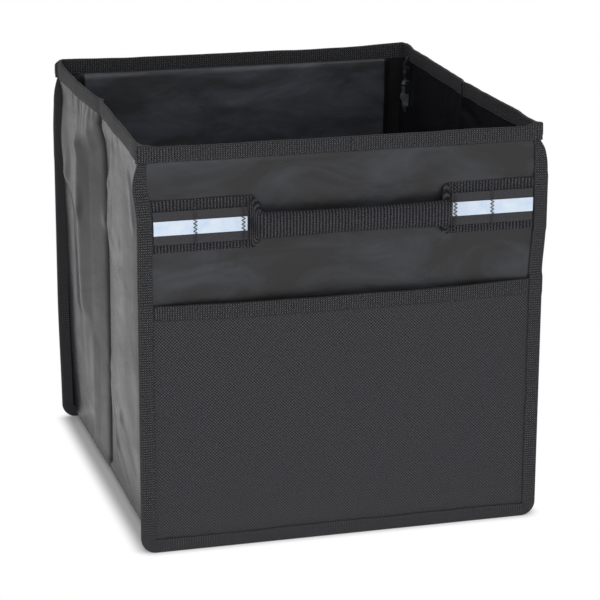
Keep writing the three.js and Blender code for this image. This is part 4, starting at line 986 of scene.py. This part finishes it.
def rim_path():
    """The outer and inner lines of the cloth edge under the tape, from the front's middle to the right."""
    runs = []
    reach = WALL_REACH - 6
    for sign, end in ((1, -1), (1, 1), (-1, 1), (-1, -1)):
        left, ahead = sign < 0, sign * end < 0
        edge = [((k * BINDING_EDGE, OUTER_FACE - LAYER_GAP), (k * BINDING_EDGE, FLANGE_FACE))
                for k in np.linspace(0, 0.97, 40)]
        x, depth = np.moveaxis(np.array(edge + rim_corner(left, end)), -1, 0)
        run = np.stack([sign * x, end * (DEPTH / 2 - depth)], -1)
        runs.append(run if ahead else run[::-1])
        if ahead:
            y = np.linspace(end * reach, -end * reach, 100)[1:-1, None]
            x = seam_half_width(HEIGHT) - wall_inward(left, y, HEIGHT) + (LAYER_GAP, -STRIP_CLOTH - LAYER_GAP)
            runs.append(np.stack([sign * x, y + 0 * x], -1))
    path = np.concatenate(runs)
    steps = np.linalg.norm(path - np.roll(path, 1, 0), axis=2).min(1)
    path = path[steps > 0.05]
    for _ in range(2):
        path = (np.roll(path, 1, 0) + 2 * path + np.roll(path, -1, 0)) / 4
    return path


path = rim_path()
outer, inner = path[:, 0], path[:, 1]
outward, inward = -left_of(outer, True), left_of(inner, True)
along = lengths_along(outer, True)
turn = along[:-1] / along[-1] * 2 * np.pi
ripple = lambda size, seed: soft_noise(
    np.cos(turn) * along[-1] / 6.28, np.sin(turn) * along[-1] / 6.28, size, seed)
lip = 0.35 * ripple(30, 101) + 0.15 * ripple(9, 102)
low = HEIGHT - RIM_OUTER_LEG + 0.4 * ripple(24, 103)
inner_low = HEIGHT - RIM_INNER_LEG + 0.4 * ripple(24, 104)
top = HEIGHT + lip - 0.3


def rim_leg(line, way, edge, shares, puff):
    """One leg of the tape between its lower edge and the fold, pressed in along its stitches."""
    for share in shares:
        z = edge + (top - RIM_FOLD - edge) * share
        dent = 0.28 * hump(z - low - BINDING_SEAM, STITCH_DENT)
        yield line + way * (TAPE - dent + puff * math.sin(math.pi * share))[:, None], z


columns = list(rim_leg(outer, outward, low, np.linspace(0, 1, 10), 0.2))
for line, way, degrees in ((outer, outward, (30, 60, 90)), (inner, inward, (90, 60, 30))):
    for angle in np.radians(degrees):
        columns.append((line + way * (TAPE - RIM_FOLD * (1 - math.cos(angle))),
                        top - RIM_FOLD * (1 - math.sin(angle))))
columns += rim_leg(inner, inward, inner_low, np.linspace(1, 0, 8), 0)
ceiling = top - TAPE
inside = [(inner, inner_low + (ceiling - inner_low) * k) for k in (0, 0.2, 0.4, 0.6, 0.8, 1)]
inside += [(outer, low + (ceiling - low) * k) for k in (1, 0.85, 0.7, 0.5, 0.3, 0.15, 0)]
rings = np.stack([np.concatenate([xy, z[:, None]], 1) for xy, z in columns + inside], 1)
rim = lofted("rim_tape", rings, tape, joined=True, along=along)
hold(rim, "binding_tape", "rim_binding")
seam_z = low + BINDING_SEAM
rows = [
    np.concatenate([line + way * (TAPE - THREAD_RADIUS), seam_z[:, None]], 1)
    for line, way in ((outer, outward), (inner, inward))]
rows = [spaced(np.concatenate([row, row[:1]]), STITCH_LENGTH) for row in rows]
hold(sewn("rim_stitches", rows), "sewing_thread")


# Loose base.
# A board in a flat sleeve of lining cloth, open at front and rear, lies loose on the bottom.
BASE_BOARD, BASE_MARGIN = 3, 5
BASE_LOW = BOTTOM_SEAM - BOTTOM_SAG + STRIP_CLOTH + LAYER_GAP * 3
BASE_TOP = BASE_LOW + BASE_BOARD + 2 * (LINING + LAYER_GAP)
BASE_HALF_WIDTH, BASE_HALF_DEPTH = WIDTH / 2 - SIDE_SEAM - BASE_MARGIN, WALL_REACH - SAG_REACH - 1
angles = np.radians(np.linspace(-90, 90, 9))
radius = (BASE_TOP - BASE_LOW) / 2
middle = (BASE_TOP + BASE_LOW) / 2
side = np.stack([BASE_HALF_WIDTH - radius + radius * np.cos(angles), middle + radius * np.sin(angles)], 1)
x = np.linspace(BASE_HALF_WIDTH - radius, -BASE_HALF_WIDTH + radius, 60)[1:-1]
bulge = 0.25 * soft_noise(x, 0, 50, 111) * np.sin(np.linspace(0, np.pi, len(x)))
over = np.stack([x, BASE_TOP + np.abs(bulge)], 1)
under = np.stack([-x, BASE_LOW + 0 * x], 1)
section = np.concatenate([side, over, side[::-1] * (-1, 1), under])
outwards = -left_of(section, True)
y = np.linspace(-BASE_HALF_DEPTH, BASE_HALF_DEPTH, 40)
skin = lambda by, y: np.stack([
    np.concatenate([section + outwards * by, np.full((len(section), 1), at)], 1)[:, [0, 2, 1]] for at in y], 1)
rings = np.concatenate([skin(0, y), skin(-LINING, y[::-1])], 1)
sleeve = lofted("base_sleeve", rings, lining_cloth, joined=True)
hold(sleeve, "lining_cloth", "base_board_sleeve")


# Studio.
# A white floor in a white tent. Away from the box it fades to plain white, so only its contact shadow shows.
FLOOR_HALF = 6
bpy.ops.mesh.primitive_plane_add(size=2 * FLOOR_HALF)
floor = bpy.context.object
floor.name = "studio_floor"
paper, tree = empty_material("white studio paper")
place = add(tree, "ShaderNodeTexCoord").outputs["Object"]
mirrored = add(tree, "ShaderNodeVectorMath", {"operation": "ABSOLUTE"}, {0: place})
outside = add(tree, "ShaderNodeVectorMath", {"operation": "SUBTRACT"}, {
    0: mirrored, 1: (WIDTH / 2 * MM - 0.01, DEPTH / 2 * MM - 0.01, 0)})
outside = add(tree, "ShaderNodeVectorMath", {"operation": "MAXIMUM"}, {0: outside, 1: (0, 0, 0)})
distance = add(tree, "ShaderNodeVectorMath", {"operation": "LENGTH"}, {0: outside})
far = add(tree, "ShaderNodeMapRange", {"interpolation_type": "SMOOTHSTEP"}, {
    "Value": distance.outputs["Value"], "From Min": 0.003, "From Max": 0.018})
matt = add(tree, "ShaderNodeBsdfDiffuse", inputs={"Color": linear(0xF7F7F7)})
white = add(tree, "ShaderNodeEmission", inputs={"Color": (1, 1, 1, 1), "Strength": 1})
mixed = add(tree, "ShaderNodeMixShader", inputs={0: far, 1: matt, 2: white})
add(tree, "ShaderNodeOutputMaterial", inputs={"Surface": mixed})
floor.data.materials.append(paper)
floor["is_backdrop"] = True

world = bpy.data.worlds.new("studio")
world.use_nodes = True
tree = world.node_tree
tree.nodes.clear()
ray = add(tree, "ShaderNodeLightPath").outputs
seen = add(tree, "ShaderNodeMath", {"operation": "MAXIMUM"}, {
    0: ray["Is Camera Ray"], 1: ray["Is Glossy Ray"]})
seen = add(tree, "ShaderNodeMath", {"operation": "MAXIMUM"}, {0: seen, 1: ray["Is Transmission Ray"]})
soft = add(tree, "ShaderNodeBackground", inputs={"Color": (1, 1, 1, 1), "Strength": 0.5})
white = add(tree, "ShaderNodeBackground", inputs={"Color": (1, 1, 1, 1), "Strength": 1})
mixed = add(tree, "ShaderNodeMixShader", inputs={0: seen, 1: soft, 2: white})
add(tree, "ShaderNodeOutputWorld", inputs={"Surface": mixed})
bpy.context.scene.world = world

# Key lamp: a square one of 1.6 m above the front left, which faces the box
light = bpy.data.lights.new("key lamp above front", "AREA")
light.shape, light.size, light.energy = "SQUARE", 1.6, 12
place = Vector((-0.7, -1.9, 1.3))
facing = (place - Vector((0, 0, 0.1))).to_track_quat("Z", "Y").to_matrix().to_4x4()
new_object("key lamp above front", light).matrix_world = Matrix.Translation(place) @ facing

# Camera: a long lens, a little above the rim, turned 16 degrees to the left side
view = bpy.data.cameras.new("camera")
view.lens, view.sensor_width, view.sensor_fit = 148.0, 36, "HORIZONTAL"
camera = new_object("camera", view)
yaw, pitch, roll = (math.radians(a) for a in (15.894, 16.603, 0.276))
turned = [Matrix.Rotation(a, 4, axis) for a, axis in ((-yaw, "Z"), (math.pi / 2 - pitch, "X"), (roll, "Z"))]
camera.matrix_world = Matrix.Translation((-0.49996, -1.79566, 0.692)) @ turned[0] @ turned[1] @ turned[2]
bpy.context.scene.camera = camera
bpy.context.scene.view_settings.view_transform = "Standard"

corners = lambda box: [list(corner) for corner in box]
{"cad": corners(cad_box), "visual": corners(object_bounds())}
